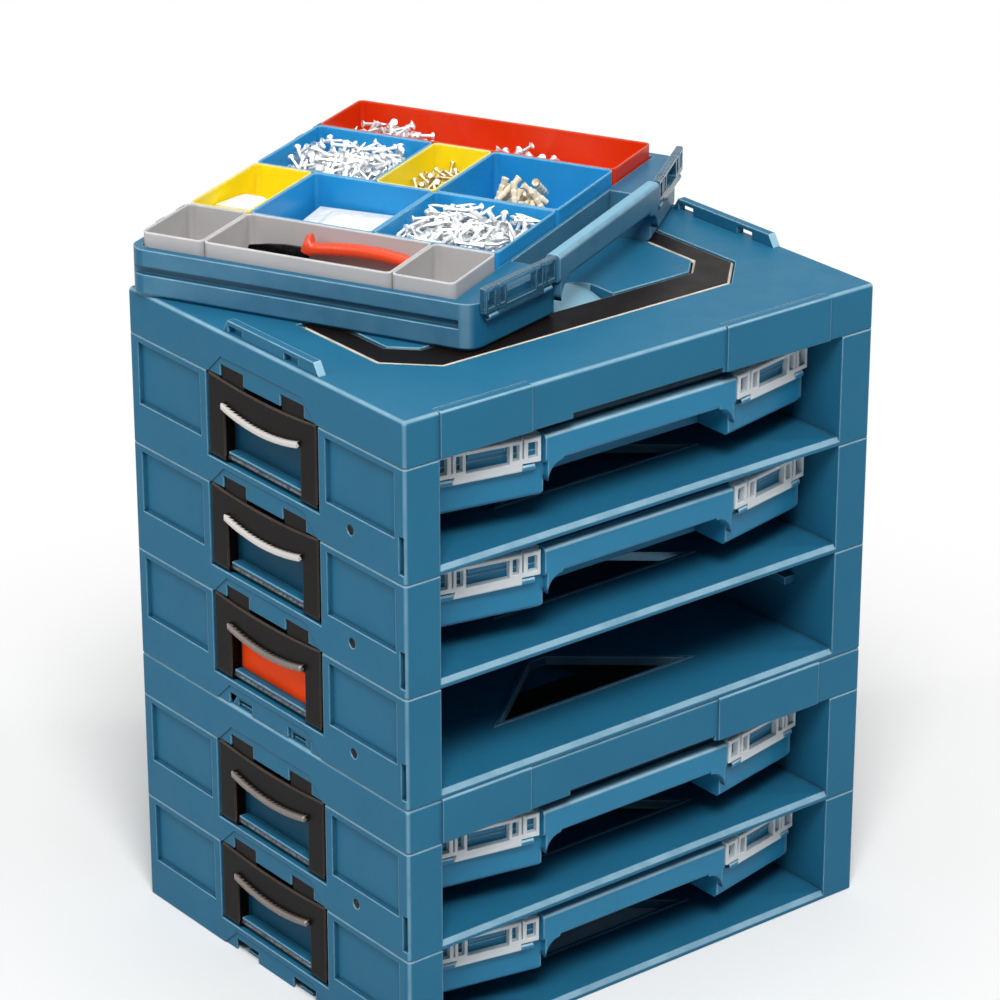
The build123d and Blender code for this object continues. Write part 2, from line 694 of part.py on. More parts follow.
# Case base
with BuildPart() as case_base:
    with BuildSketch():
        add(case_outline.sketch)
    extrude(amount=rim_height)
    chamfer(case_base.faces().sort_by(Axis.Z)[0].edges(), case_bottom_chamfer)
    with BuildSketch(Plane.XY.offset(case_floor)):
        add(case_outline.sketch)
        offset(amount=-rim_reach - case_wall)
        with Locations((0, -tub_front - case_depth / 2)):
            Rectangle(case_width, case_depth, mode=Mode.SUBTRACT)
    extrude(amount=rim_height, mode=Mode.SUBTRACT)
    with BuildSketch():
        add(case_outline.sketch)
        offset(amount=-case_wall - seam_chamfer - front_draft)
        with Locations((0, -tub_front - case_wall + case_depth / 2)):
            Rectangle(case_width, case_depth, mode=Mode.SUBTRACT)
        Rectangle(case_front_flat + 2 * case_wall, case_depth, mode=Mode.SUBTRACT)
    extrude(amount=rim_height - case_wall, mode=Mode.SUBTRACT)
    for place in at_latches((0, 0, 0)):
        side = 1 if place.position.X > 0 else -1
        with BuildSketch(place * Plane.YZ):
            Polygon(
                (-case_wall, front_draft_top),
                (0, front_draft_top),
                (front_draft, 0),
                (front_draft, -cut_over),
                (-case_wall, -cut_over),
                align=None,
            )
        extrude(amount=side * case_width, mode=Mode.SUBTRACT)
    recess_from = (-half_flat, -case_depth, -cut_over)
    block(recess_from, (half_flat, -tub_front - case_wall, rim_height + cut_over), Mode.SUBTRACT)
    with BuildSketch(Plane.YZ):
        with Locations((-(bar_front + bar_back) / 2, bar_top - bar_height / 2)):
            RectangleRounded(bar_depth, bar_height, bar_round)
    extrude(amount=half_flat + bar_overlap, both=True)
    bar_bottom = bar_top - bar_height
    for side in (-1, 1):
        arch_x = side * (half_flat - bar_arch_radius)
        arch_low = bar_bottom - bar_arch_radius
        block((arch_x, -bar_front, arch_low), (side * half_flat, -bar_back, bar_bottom + bar_round))
        arch_length = 2 * bar_depth + cut_over
        rod((arch_x, -bar_front, arch_low), bar_arch_radius, arch_length, along_y, Mode.SUBTRACT)
    for side in (-1, 1):
        groove_from = (side * (half_case - rim_reach), -groove_front, groove_bottom)
        groove_to = (side * (half_case + cut_over), body_rear + cut_over, groove_top)
        block(groove_from, groove_to, Mode.SUBTRACT)
    for lug in (flap_start - lug_gap - lug_width / 2, flap_end + lug_gap + lug_width / 2):
        web_depth = rim_reach + weld_depth - latch_pivot_y
        web_middle = (lug, latch_pivot_y + web_depth / 2, latch_pivot_height)
        with Locations(*at_latches((lug, latch_pivot_y, latch_pivot_height), along_x)):
            Cylinder(latch_thickness / 2, lug_width)
        with Locations(*at_latches(web_middle)):
            Box(lug_width, web_depth, latch_thickness)
        with Locations(*at_latches((lug, latch_pivot_y, latch_pivot_height), along_x)):
            Cylinder(latch_pin_radius + press_gap, lug_width + cut_over, mode=Mode.SUBTRACT)
    for middle in (-hinge_offset, hinge_offset):
        for lug in knuckle_lugs(middle):
            rod((lug, hinge_pivot_y, rim_height), knuckle_radius, knuckle_lug_width, along_x)
            web_from = (lug - knuckle_lug_width / 2, body_rear - weld_depth, rim_height - rim_band)
            web_to = (lug + knuckle_lug_width / 2, hinge_pivot_y + knuckle_radius, rim_height)
            block(web_from, web_to)
        bore_radius = hinge_pin_radius + press_gap
        rod((middle, hinge_pivot_y, rim_height), bore_radius, hinge_offset, along_x, Mode.SUBTRACT)

# Case lid
with BuildPart() as case_lid:
    with BuildSketch(Plane.XY.offset(rim_height)):
        add(lid_outline.sketch)
    extrude(amount=case_height - rim_height)
    chamfer(case_lid.faces().sort_by(Axis.Z)[-1].edges(), case_lid_chamfer)
    with BuildSketch(Plane.XY.offset(rim_height)):
        add(lid_outline.sketch)
        offset(amount=-case_wall)
    extrude(amount=case_height - rim_height - case_wall - case_wall, mode=Mode.SUBTRACT)
    with BuildSketch(Plane.XY.offset(rim_height)):
        add(lid_outline.sketch)
        offset(amount=-case_wall - case_lid_chamfer)
    extrude(amount=case_height - rim_height - case_wall, mode=Mode.SUBTRACT)
    rib_middle = (flap_middle, (weld_depth - catch_rib_reach) / 2, catch_rib_top - catch_rib_height / 2)
    with Locations(*at_latches(rib_middle)):
        Box(catch_rib_width, catch_rib_reach + weld_depth, catch_rib_height)
    for middle in (-hinge_offset, hinge_offset):
        rod((middle, hinge_pivot_y, rim_height), knuckle_radius, knuckle_width, along_x)
        web_from = (middle - knuckle_width / 2, body_rear - weld_depth, rim_height)
        web_to = (middle + knuckle_width / 2, hinge_pivot_y + knuckle_radius, rim_height + knuckle_radius)
        block(web_from, web_to)
        bore_radius = hinge_pin_radius + pivot_gap
        rod((middle, hinge_pivot_y, rim_height), bore_radius, hinge_offset, along_x, Mode.SUBTRACT)

# Right latch, drawn on the right swept face before it is placed
with BuildPart() as latch_blank:
    plate_from = (latch_start, -latch_gap - latch_thickness, latch_pivot_height)
    block(plate_from, (latch_end, -latch_gap, latch_top))
    outer_edges = latch_blank.faces().sort_by(Axis.Y)[0].edges()
    chamfer(outer_edges.sort_by(Axis.Z)[1:], latch_edge_round)
    for start in (latch_start, latch_end - latch_ear_width - latch_slot_width):
        ear_from = (start - cut_over, -latch_zone - cut_over, latch_pivot_height - cut_over)
        ear_to = (start + latch_ear_width + latch_slot_width, cut_over, latch_ear_bottom)
        block(ear_from, ear_to, Mode.SUBTRACT)
    for start in (latch_start + latch_ear_width, flap_end):
        slot_from = (start, -latch_zone - cut_over, latch_slot_bottom)
        block(slot_from, (start + latch_slot_width, cut_over, latch_top + cut_over), Mode.SUBTRACT)
    ear_starts = (latch_start, latch_end - latch_ear_width)
    holes = [(start + latch_ear_margin, latch_ear_width - 2 * latch_ear_margin) for start in ear_starts]
    vent_starts = (flap_start + latch_vent_margin, flap_end - latch_vent_margin - latch_vent_width)
    holes += [(start, latch_vent_width) for start in vent_starts]
    for start, width in holes:
        hole_from = (start, -latch_zone - cut_over, latch_window_bottom + latch_vent_rise)
        block(hole_from, (start + width, cut_over, latch_window_top), Mode.SUBTRACT)
    window_from = (flap_middle - latch_window_width / 2, -latch_zone - cut_over, latch_window_bottom)
    window_to = (flap_middle + latch_window_width / 2, cut_over, latch_window_top)
    block(window_from, window_to, Mode.SUBTRACT)
    rod((flap_middle, latch_pivot_y, latch_pivot_height), latch_thickness / 2, flap_width, along_x)
    bore_centre = (flap_middle, latch_pivot_y, latch_pivot_height)
    rod(bore_centre, latch_pin_radius + pivot_gap, flap_width + cut_over, along_x, Mode.SUBTRACT)
latch_right = latch_blank.part.moved(latch_seat)
latch_left = latch_right.mirror(Plane.YZ)

# Latch and hinge pins of one case
with BuildPart() as base_pins:
    with Locations(*at_latches((flap_middle, latch_pivot_y, latch_pivot_height), along_x)):
        Cylinder(latch_pin_radius, latch_pin_length)
with BuildPart() as case_pins:
    add(base_pins.part)
    for middle in (-hinge_offset, hinge_offset):
        pin_length = knuckle_width + 2 * (knuckle_side_gap + knuckle_lug_width)
        rod((middle, hinge_pivot_y, rim_height), hinge_pin_radius, pin_length, along_x)

# Closed cases, one in each bay but the empty one
case_y = -half_depth + case_set_back + case_depth / 2
for number, level in enumerate(bay_levels, start=1):
    if number != empty_bay:
        seat = Location((0, case_y, level + case_sit_height))
        save(case_base.part.moved(seat), f"case_{number}_base")
        save(case_lid.part.moved(seat), f"case_{number}_lid")
        save(latch_left.moved(seat), f"case_{number}_latch_left")
        save(latch_right.moved(seat), f"case_{number}_latch_right")
        save(case_pins.part.moved(seat), f"case_{number}_pins")

# Open case on the stack
open_seat = Location((open_case_x, open_case_y, stack_height), (0, 0, open_case_turn))
save(case_base.part.moved(open_seat), "open_case_base")
save(latch_left.moved(open_seat), "open_case_latch_left")
save(latch_right.moved(open_seat), "open_case_latch_right")
save(base_pins.part.moved(open_seat), "open_case_pins")

# Bins in columns, left to right, with their ends as shares of a column from the rear
tub_inset = rim_reach + case_wall + bin_side_gap
bin_half_span = half_case - tub_inset
bin_column_half = bin_half_span - bin_outer_column
bin_rear = body_rear - tub_inset
bin_front = tub_front - bin_side_gap
bin_top = case_height - bin_headroom
column_edges = [-bin_half_span, -bin_column_half, 0, bin_column_half, bin_half_span]
grey_shares = {"bin_grey_rear": (0, 0.2), "bin_grey_long": (0.2, 0.8), "bin_grey_front": (0.8, 1)}
left_shares = {"bin_yellow_rear": (0, 0.2), "bin_blue_middle": (0.2, 0.6), "bin_blue_front": (0.6, 1)}
right_shares = {"bin_blue_rear": (0, 0.4), "bin_yellow_middle": (0.4, 0.6), "bin_blue_corner": (0.6, 1)}
red_shares = {"bin_red_long": (0, 1)}
all_column_shares = [grey_shares, left_shares, right_shares, red_shares]
for left, right, column_shares in zip(column_edges, column_edges[1:], all_column_shares):
    for name, (rear_share, front_share) in column_shares.items():
        rear = bin_rear - (bin_rear + bin_front) * rear_share
        front = bin_rear - (bin_rear + bin_front) * front_share
        width, depth = right - left - bin_gap, rear - front - bin_gap
        with BuildPart() as one_bin:
            with BuildSketch(Plane.XY.offset(case_floor + bin_rise)):
                with Locations(((left + right) / 2, (rear + front) / 2)):
                    RectangleRounded(width, depth, bin_corner_radius)
            extrude(amount=bin_top - case_floor - bin_rise)
            with BuildSketch(Plane.XY.offset(case_floor + bin_rise + bin_wall)):
                with Locations(((left + right) / 2, (rear + front) / 2)):
                    inner_radius = bin_corner_radius - bin_wall
                    RectangleRounded(width - 2 * bin_wall, depth - 2 * bin_wall, inner_radius)
            extrude(amount=bin_top, mode=Mode.SUBTRACT)
        save(one_bin.part.moved(open_seat), name)
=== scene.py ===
"""Studio scene of two stacked slide-in racks of small-parts cases, with an open case of bins on top."""

import json
import logging
import math
import random
from collections.abc import Callable, Iterable, Iterator
from dataclasses import dataclass, field
from enum import Enum

import bmesh
import bpy
import numpy as np
from bpy.types import Camera, Light, Material, Node, NodeSocket, NodeTree, Object
from mathutils import Matrix, Quaternion, Vector


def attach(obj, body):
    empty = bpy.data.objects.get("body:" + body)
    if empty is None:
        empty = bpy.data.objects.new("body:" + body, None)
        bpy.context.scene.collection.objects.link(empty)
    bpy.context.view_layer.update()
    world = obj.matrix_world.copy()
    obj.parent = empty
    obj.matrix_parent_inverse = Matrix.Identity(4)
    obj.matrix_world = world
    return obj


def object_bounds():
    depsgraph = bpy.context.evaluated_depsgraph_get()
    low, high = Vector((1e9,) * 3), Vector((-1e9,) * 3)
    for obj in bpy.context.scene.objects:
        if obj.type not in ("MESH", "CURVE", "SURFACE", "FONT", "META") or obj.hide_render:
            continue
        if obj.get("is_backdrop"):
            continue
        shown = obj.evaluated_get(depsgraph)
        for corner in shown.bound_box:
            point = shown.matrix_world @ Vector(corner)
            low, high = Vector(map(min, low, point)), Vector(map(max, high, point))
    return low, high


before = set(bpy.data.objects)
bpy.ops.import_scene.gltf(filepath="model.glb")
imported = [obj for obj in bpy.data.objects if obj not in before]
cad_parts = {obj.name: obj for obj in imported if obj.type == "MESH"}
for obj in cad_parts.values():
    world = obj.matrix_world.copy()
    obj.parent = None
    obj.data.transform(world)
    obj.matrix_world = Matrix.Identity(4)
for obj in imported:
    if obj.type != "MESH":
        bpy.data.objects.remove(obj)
CAD_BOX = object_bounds()

LOG = logging.getLogger("scene")
MM = 0.001

# Kinds of values: sizes and colours, and what sets up a shader node
Pair = tuple[float, float]
Triple = tuple[float, float, float]
Rgba = tuple[float, float, float, float]
Source = Node | NodeSocket
Settings = dict[str | int, object]
Links = dict[str | int, Source]

# Place of the open case on the stack, and of the bins in it, in millimetres
OPEN_CASE_PLACE = Vector((1.0, 99.0, 513.5))
OPEN_CASE_TURN = math.radians(26)
BIN_FLOOR = 4.3
BIN_TOP = 48.0

# What counts as an edge of a moulding: turn of the rounded normal, openness, and sloping faces, which get a
# painted highlight; and facing up, which makes that painted highlight stronger as if light fell from above
EDGE_TURN = (0.985, 0.86)
OUTER_OPENNESS = (0.7, 0.95)
SLANT_COSINE = (0.97, 0.82)
PAINTED_LIGHT_FACING = (-0.35, 0.4)
PAINTED_LIGHT_SHARES = (0.12, 1.0)
HOLLOW_REACH = 2.5
MASK_SAMPLES = 4

# Modelling: least share of a normal for a face to look along an axis, weld reach, steps of a rounding
FACING = 0.9
WELD_MM = 0.01
ROUNDING_SEGMENTS = 2

WHITE = (1.0, 1.0, 1.0, 1.0)


class Side(Enum):
    """The two sides of the rack."""

    LEFT = "left"
    RIGHT = "right"


class BinColour(Enum):
    """Colours that the lift-out bins are moulded in."""

    GREY = "grey"
    YELLOW = "yellow"
    BLUE = "blue"
    RED = "red"


def linear(code: str) -> Rgba:
    """Turns an sRGB hex colour into linear light.

    Args:
        code: six hex digits after a hash.

    Returns:
        Linear red, green and blue with full alpha.
    """
    parts = [int(code[i : i + 2], 16) / 255 for i in (1, 3, 5)]
    red, green, blue = (p / 12.92 if p <= 0.04045 else ((p + 0.055) / 1.055) ** 2.4 for p in parts)
    return red, green, blue, 1.0


def set_up(node: Node, settings: Settings | None = None, links: Links | None = None) -> None:
    """Gives a node its settings and links.

    Args:
        node: the node.
        settings: values by property name, input name or input number.
        links: sockets, or nodes with one result, by the name or number of the input that they feed.
    """
    for key, value in (settings or {}).items():
        if isinstance(key, str) and hasattr(node, key):
            setattr(node, key, value)
        else:
            node.inputs[key].default_value = value
    for key, source in (links or {}).items():
        if isinstance(source, Node):
            source = next(output for output in source.outputs if output.enabled)
        node.id_data.links.new(source, node.inputs[key])


def add_node(
    tree: NodeTree, kind: str, settings: Settings | None = None, links: Links | None = None
) -> Node:
    """Adds one node with its settings and links.

    Args:
        tree: node tree that gets the node.
        kind: Blender's name for the type of shader node.
        settings: as for set_up.
        links: as for set_up.

    Returns:
        The new node.
    """
    node = tree.nodes.new(f"ShaderNode{kind}")
    set_up(node, settings, links)
    return node


def new_material(name: str) -> tuple[Material, Node, Node]:
    """Starts a node material.

    Args:
        name: name of the finish.

    Returns:
        The material, its Principled shader and a Texture Coordinate node.
    """
    material = bpy.data.materials.new(name)
    material.use_nodes = True
    tree = material.node_tree
    shader = next(node for node in tree.nodes if node.type == "BSDF_PRINCIPLED")
    return material, shader, add_node(tree, "TexCoord")


def span(source: Pair = (0.0, 1.0), target: Pair = (0.0, 1.0)) -> Settings:
    """Gives the settings that map one range of values to another."""
    return {"From Min": source[0], "From Max": source[1], "To Min": target[0], "To Max": target[1]}


def rim_mask(
    tree: NodeTree, place: Node, radius_mm: float, share: float, slant_highlight_share: float = 0.0
) -> tuple[NodeSocket, NodeSocket, NodeSocket]:
    """Finds the outer edges of a moulding, which get pale lines that are partly from rubbing and partly a
    painted highlight, stronger where they face up as if light fell from above, and its inner corners, which
    get painted shade.

    Args:
        tree: node tree of the finish.
        place: its Texture Coordinate node.
        radius_mm: how far an edge's rounding reaches.
        share: strength of the mask on a sharp outer edge.
        slant_highlight_share: strength of the painted highlight on bevelled and rounded edges and on sloping
            faces.

    Returns:
        The outer-edge mask of rubbing and painted highlight, the openness of the surface that sets the
        painted shade in corners, and the normal with rounded edges.
    """
    rounded = add_node(tree, "Bevel", {"samples": MASK_SAMPLES, "Radius": radius_mm * MM})
    flat = add_node(tree, "NewGeometry")
    turn = add_node(
        tree, "VectorMath", {"operation": "DOT_PRODUCT"}, {0: rounded, 1: flat.outputs["Normal"]}
    )
    edge = add_node(tree, "MapRange", span(EDGE_TURN, (0.0, share)), {"Value": turn})
    hollow = add_node(
        tree,
        "AmbientOcclusion",
        {"samples": MASK_SAMPLES, "only_local": True, "Distance": HOLLOW_REACH * radius_mm * MM},
    )
    outer = add_node(tree, "MapRange", span(OUTER_OPENNESS), {"Value": hollow.outputs["AO"]})
    mask = add_node(tree, "Math", {"operation": "MULTIPLY"}, {0: edge, 1: outer})
    level = add_node(tree, "VectorMath", {"operation": "ABSOLUTE"}, {0: place.outputs["Normal"]})
    parts = add_node(tree, "SeparateXYZ", None, {0: level})
    widest = add_node(
        tree, "Math", {"operation": "MAXIMUM"}, {0: parts.outputs["X"], 1: parts.outputs["Y"]}
    )
    squarest = add_node(tree, "Math", {"operation": "MAXIMUM"}, {0: widest, 1: parts.outputs["Z"]})
    # Painted highlight: sloping faces such as fillets, bevels and the slopes of catches turn pale
    painted_slant_highlight = add_node(tree, "MapRange", span(SLANT_COSINE, (0.0, slant_highlight_share)), {"Value": squarest})
    either = add_node(tree, "Math", {"operation": "MAXIMUM"}, {0: mask, 1: painted_slant_highlight})
    # Painted light: the mask grows where the rounded normal faces up, as if light fell from above
    upright = add_node(tree, "SeparateXYZ", None, {0: rounded})
    painted_light_from_above = add_node(tree, "MapRange", span(PAINTED_LIGHT_FACING, PAINTED_LIGHT_SHARES), {"Value": upright.outputs["Z"]})
    final = add_node(tree, "Math", {"operation": "MULTIPLY"}, {0: either, 1: painted_light_from_above})
    return final.outputs["Value"], hollow.outputs["AO"], rounded.outputs["Normal"]


@dataclass(frozen=True)
class MouldedPlastic:
    """Injection-moulded plastic: satin skin with a spark-eroded grain, pale edges that are partly from
    rubbing and partly a painted highlight, and painted shade in corners.
    """

    name: str
    colour: str
    edge_and_highlight_colour: str
    roughness: float
    ior: float = 1.53
    specular: float = 0.22
    grain_mm: float = 1.4
    grain_depth_mm: float = 0.05
    edge_mm: float = 1.8
    edge_share: float = 0.85
    slant_highlight_share: float = 0.0
    corner_shade_share: float = 0.5
    tone_mm: float = 70.0
    tone_share: float = 0.09
    rub_mm: float = 22.0
    rub_range: Pair = (0.3, 0.6)
    rub_shares: Pair = (0.7, 1.0)
    corner_shade_range: Pair = (0.35, 0.95)
    corner_shade_tone: float = 0.25
    polish_range: Pair = (0.3, 0.7)
    polish_shares: Pair = (0.88, 1.12)
    bump: float = 0.3

    def material(self) -> Material:
        """Builds the finish as a node material."""
        material, shader, place = new_material(self.name)
        tree = material.node_tree
        # The real grain is about 0.3 mm and would not show, so it is drawn coarser.
        grain, tone, rub = (
            add_node(
                tree,
                "TexNoise",
                {"Scale": 1 / (size * MM), "Detail": detail, "Roughness": 0.55},
                {"Vector": place.outputs["Object"]},
            )
            for size, detail in ((self.grain_mm, 3.0), (self.tone_mm, 3.0), (self.rub_mm, 2.0))
        )
        edge, openness, normal = rim_mask(tree, place, self.edge_mm, self.edge_share, self.slant_highlight_share)
        # The rub noise makes the pale edges uneven; they are partly from rubbing and partly a painted
        # highlight
        highlit = add_node(tree, "MapRange", span(self.rub_range, self.rub_shares), {"Value": rub})
        wear_and_highlight = add_node(tree, "Math", {"operation": "MULTIPLY"}, {0: edge, 1: highlit})
        base = Vector(linear(self.colour)[:3])
        low = (*(base * (1 - self.tone_share)), 1.0)
        high = (*(base * (1 + self.tone_share)), 1.0)
        shade = add_node(tree, "Mix", {"data_type": "RGBA", 6: low, 7: high}, {0: tone})
        # Painted shade: the colour darkens where the surface is closed in, in corners, creases and recesses
        deep = add_node(
            tree, "MapRange", span(self.corner_shade_range, (self.corner_shade_share, 0.0)), {"Value": openness}
        )
        shaded_corners = add_node(
            tree,
            "Mix",
            {"data_type": "RGBA", 7: (*(base * self.corner_shade_tone), 1.0)},
            {0: deep, 6: shade},
        )
        # Pale edges, partly from rubbing and partly a painted highlight
        worn_and_highlighted = add_node(
            tree, "Mix", {"data_type": "RGBA", 7: linear(self.edge_and_highlight_colour)}, {0: wear_and_highlight, 6: shaded_corners}
        )
        smooth, rough = (self.roughness * share for share in self.polish_shares)
        polish = add_node(tree, "MapRange", span(self.polish_range, (smooth, rough)), {"Value": rub})
        relief = add_node(
            tree,
            "Bump",
            {"Strength": self.bump, "Distance": self.grain_depth_mm * MM},
            {"Height": grain, "Normal": normal},
        )
        set_up(
            shader,
            {"IOR": self.ior, "Specular IOR Level": self.specular},
            {"Base Color": worn_and_highlighted, "Roughness": polish, "Normal": relief},
        )
        return material


@dataclass(frozen=True)
class ClearPlastic:
    """Clear polycarbonate moulding: see-through faces, frosted edges that also carry a painted highlight, and
    faint flow lines.
    """

    name: str
    colour: str
    edge_and_highlight_colour: str
    roughness: float
    transmission: float
    ior: float = 1.35
    flow_mm: float = 9.0
    edge_mm: float = 0.9
    edge_share: float = 0.9
    edge_transmission: float = 0.1
    tone_share: float = 0.1
    haze_shares: Pair = (0.7, 1.4)
    relief_mm: float = 0.2
    bump: float = 0.2

    def material(self) -> Material:
        """Builds the finish as a node material."""
        material, shader, place = new_material(self.name)
        tree = material.node_tree
        flow = add_node(
            tree,
            "TexNoise",
            {"Scale": 1 / (self.flow_mm * MM), "Detail": 2.0, "Distortion": 0.8},
            {"Vector": place.outputs["Object"]},
        )
        edge, _, normal = rim_mask(tree, place, self.edge_mm, self.edge_share)
        base = Vector(linear(self.colour)[:3])
        tint = add_node(
            tree,
            "Mix",
            {"data_type": "RGBA", 6: (*(base * (1 - self.tone_share)), 1.0), 7: (*base, 1.0)},
            {0: flow},
        )
        # Frosted pale edges that also carry a painted highlight
        frosted_and_highlighted = add_node(
            tree, "Mix", {"data_type": "RGBA", 7: linear(self.edge_and_highlight_colour)}, {0: edge, 6: tint}
        )
        clear = add_node(
            tree, "MapRange", span(target=(self.transmission, self.edge_transmission)), {"Value": edge}
        )
        smooth, rough = (self.roughness * share for share in self.haze_shares)
        haze = add_node(tree, "MapRange", span(target=(smooth, rough)), {"Value": flow})
        relief = add_node(
            tree,
            "Bump",
            {"Strength": self.bump, "Distance": self.relief_mm * MM},
            {"Height": flow, "Normal": normal},
        )
        set_up(
            shader,
            {"IOR": self.ior},
            {"Base Color": frosted_and_highlighted, "Transmission Weight": clear, "Roughness": haze, "Normal": relief},
        )
        return material


@dataclass(frozen=True)
class PlatedMetal:
    """Plated or blackened steel: bright metal with small patches that are duller and darker."""

    name: str
    colour: str
    dull_colour: str
    roughness: float
    patch_mm: float = 2.5
    patch_range: Pair = (0.35, 0.65)
    polish_shares: Pair = (1.35, 0.75)

    def material(self) -> Material:
        """Builds the finish as a node material."""
        material, shader, place = new_material(self.name)
        tree = material.node_tree
        patch = add_node(
            tree,
            "TexNoise",
            {"Scale": 1 / (self.patch_mm * MM), "Detail": 3.0},
            {"Vector": place.outputs["Object"]},
        )
        spread = add_node(tree, "MapRange", span(self.patch_range), {"Value": patch})
        tint = add_node(
            tree,
            "Mix",
            {"data_type": "RGBA", 6: linear(self.dull_colour), 7: linear(self.colour)},
            {0: spread},
        )
        rough, smooth = (self.roughness * share for share in self.polish_shares)
        polish = add_node(tree, "MapRange", span(target=(rough, smooth)), {"Value": spread})
        set_up(shader, {"Metallic": 1.0}, {"Base Color": tint, "Roughness": polish})
        return material


@dataclass(frozen=True)
class CoatedCard:
    """White coated card in a thin bag: smooth, with soft creases that catch the light, and painted shade
    where the creases sink.
    """

    name: str
    colour: str
    crease_shade_colour: str
    crease_mm: float = 14.0
    crease_range: Pair = (0.35, 0.6)
    roughness: float = 0.34
    relief_mm: float = 0.6
    bump: float = 0.6

    def material(self) -> Material:
        """Builds the finish as a node material."""
        material, shader, place = new_material(self.name)
        tree = material.node_tree
        crease = add_node(
            tree,
            "TexNoise",
            {"Scale": 1 / (self.crease_mm * MM), "Detail": 5.0, "Roughness": 0.7, "Distortion": 1.2},
            {"Vector": place.outputs["Object"]},
        )
        spread = add_node(tree, "MapRange", span(self.crease_range), {"Value": crease})
        # Painted shade: the card turns darker where the creases sink
        tint = add_node(
            tree,
            "Mix",
            {"data_type": "RGBA", 6: linear(self.crease_shade_colour), 7: linear(self.colour)},
            {0: spread},
        )
        relief = add_node(
            tree, "Bump", {"Strength": self.bump, "Distance": self.relief_mm * MM}, {"Height": crease}
        )
        set_up(shader, {"Roughness": self.roughness}, {"Base Color": tint, "Normal": relief})
        return material


Finish = MouldedPlastic | ClearPlastic | PlatedMetal | CoatedCard

# Satin teal blue of the racks, with pale lines on the edges that hands and cases rub
RACK_BLUE = MouldedPlastic(
    "rack_blue_abs", "#236787", "#bfe2f0", 0.45, specular=0.11, edge_mm=1.7, edge_share=0.9,
    slant_highlight_share=0.44, corner_shade_share=0.75,
)
# Painted shade: a darker copy of the rack blue on the floor of the clips' pockets
RACK_SHADE = MouldedPlastic("rack_blue_abs_shaded", "#134a64", "#9cc6d8", 0.5, specular=0.08, edge_mm=1.7)
# Painted highlight: lighter copies of the same blue on faces that look nearly white in the light: scoop,
# slopes of the catches, tops of bars
SCOOP_HIGHLIGHT = MouldedPlastic("scoop_painted_highlight_blue_abs", "#86b2c4", "#dceef5", 0.4, specular=0.2)
CATCH_HIGHLIGHT = MouldedPlastic("catch_painted_highlight_blue_abs", "#8fbdd0", "#e6f4f9", 0.4, specular=0.2, edge_mm=1.4)
BAR_HIGHLIGHT = MouldedPlastic("bar_painted_highlight_blue_abs", "#74a9c1", "#d8eef7", 0.34, specular=0.2)
# The cases are smoother than the racks; the closed ones in the bays get a lighter copy of the blue, painted
# light
CASE_BLUE = MouldedPlastic(
    "case_blue_abs", "#23769c", "#c6e6f3", 0.36, specular=0.18, edge_mm=1.9, slant_highlight_share=0.7
)
# Painted shade: a darker copy of the case blue for the open case on top
OPEN_CASE_SHADED_BLUE = MouldedPlastic(
    "open_case_shaded_blue_abs", "#1a6283", "#bfe2f0", 0.34, specular=0.18, edge_mm=1.7, slant_highlight_share=0.4,
    corner_shade_share=0.8,
)
CASE_LID_BLUE = MouldedPlastic("case_lid_blue_abs", "#1d6c92", "#c6e6f3", 0.34, edge_mm=1.9, slant_highlight_share=0.7)
# Brown-black clips; their grips carry an arc of painted highlight: nearly white on the two upper ones, grey
# on the others
CLIP_BLACK = MouldedPlastic(
    "clip_black_nylon", "#0d0908", "#8d7d72", 0.3, specular=0.07, edge_mm=1.1, edge_share=0.7,
    slant_highlight_share=0.2,
)
GRIP_PAINTED_HIGHLIGHT = MouldedPlastic(
    "clip_grip_painted_highlight_nylon", "#cfcac5", "#f5f2ee", 0.25, specular=0.5, edge_mm=1.0, edge_share=0.6
)
GRIP_PAINTED_SHEEN = MouldedPlastic(
    "clip_grip_painted_sheen_nylon", "#6e645d", "#f2ebe2", 0.25, specular=0.4, edge_mm=2.4, edge_share=1.0
)
# Flat black handle with a thin cream line along its edges, a painted highlight
HANDLE_BLACK = MouldedPlastic(
    "handle_black_nylon", "#15100e", "#f0e4d2", 0.42, specular=0.08, edge_mm=1.5, edge_share=0.95,
    slant_highlight_share=0.8,
)
# A saturated signal colour that shows through the clips' windows
MARKER_ORANGE = MouldedPlastic("marker_orange_abs", "#ff4a08", "#fb8a50", 0.4, specular=0.06, edge_share=0.2)
# Latches: a whitish copy of the clear plastic on the closed cases, painted light, and a darker blue-tinted
# copy on the open case, painted shade
CLEAR_LATCH = ClearPlastic("latch_clear_polycarbonate", "#eef5f8", "#ffffff", 0.14, 0.36)
SHADED_LATCH = ClearPlastic("latch_shaded_polycarbonate", "#4f8ba6", "#b6d6e2", 0.12, 0.75)
# Small dark metal ends that hardly shine
STEEL_PIN = PlatedMetal("pin_dull_steel", "#77797c", "#45474a", 0.42)
DARK_SCREW = PlatedMetal("screw_black_steel", "#2c2f32", "#141617", 0.4)
# Loose fixings: a white glitter of zinc, a warm one of yellow zinc, and cream plugs
ZINC = PlatedMetal("fixing_bright_zinc", "#fafbfb", "#dde0e2", 0.45)
BRASS = PlatedMetal("fixing_yellow_zinc", "#f7edd2", "#cdb98c", 0.42)
PLUG_TAN = MouldedPlastic(
    "plug_cream_nylon", "#eddfc2", "#fbf5e8", 0.45, grain_mm=1.2, edge_mm=0.4, corner_shade_share=0.9
)
# Bright white folds
BAG_WHITE = CoatedCard("bag_white_card", "#fcfbfa", "#e4e1df")
# Glossy red sleeves on a nearly black tool
TOOL_RED = MouldedPlastic("tool_red_vinyl", "#e9481f", "#f6a28a", 0.3, specular=0.45, edge_share=0.3)
TOOL_STEEL = PlatedMetal("tool_black_steel", "#1f1e1e", "#0f0e0e", 0.34)
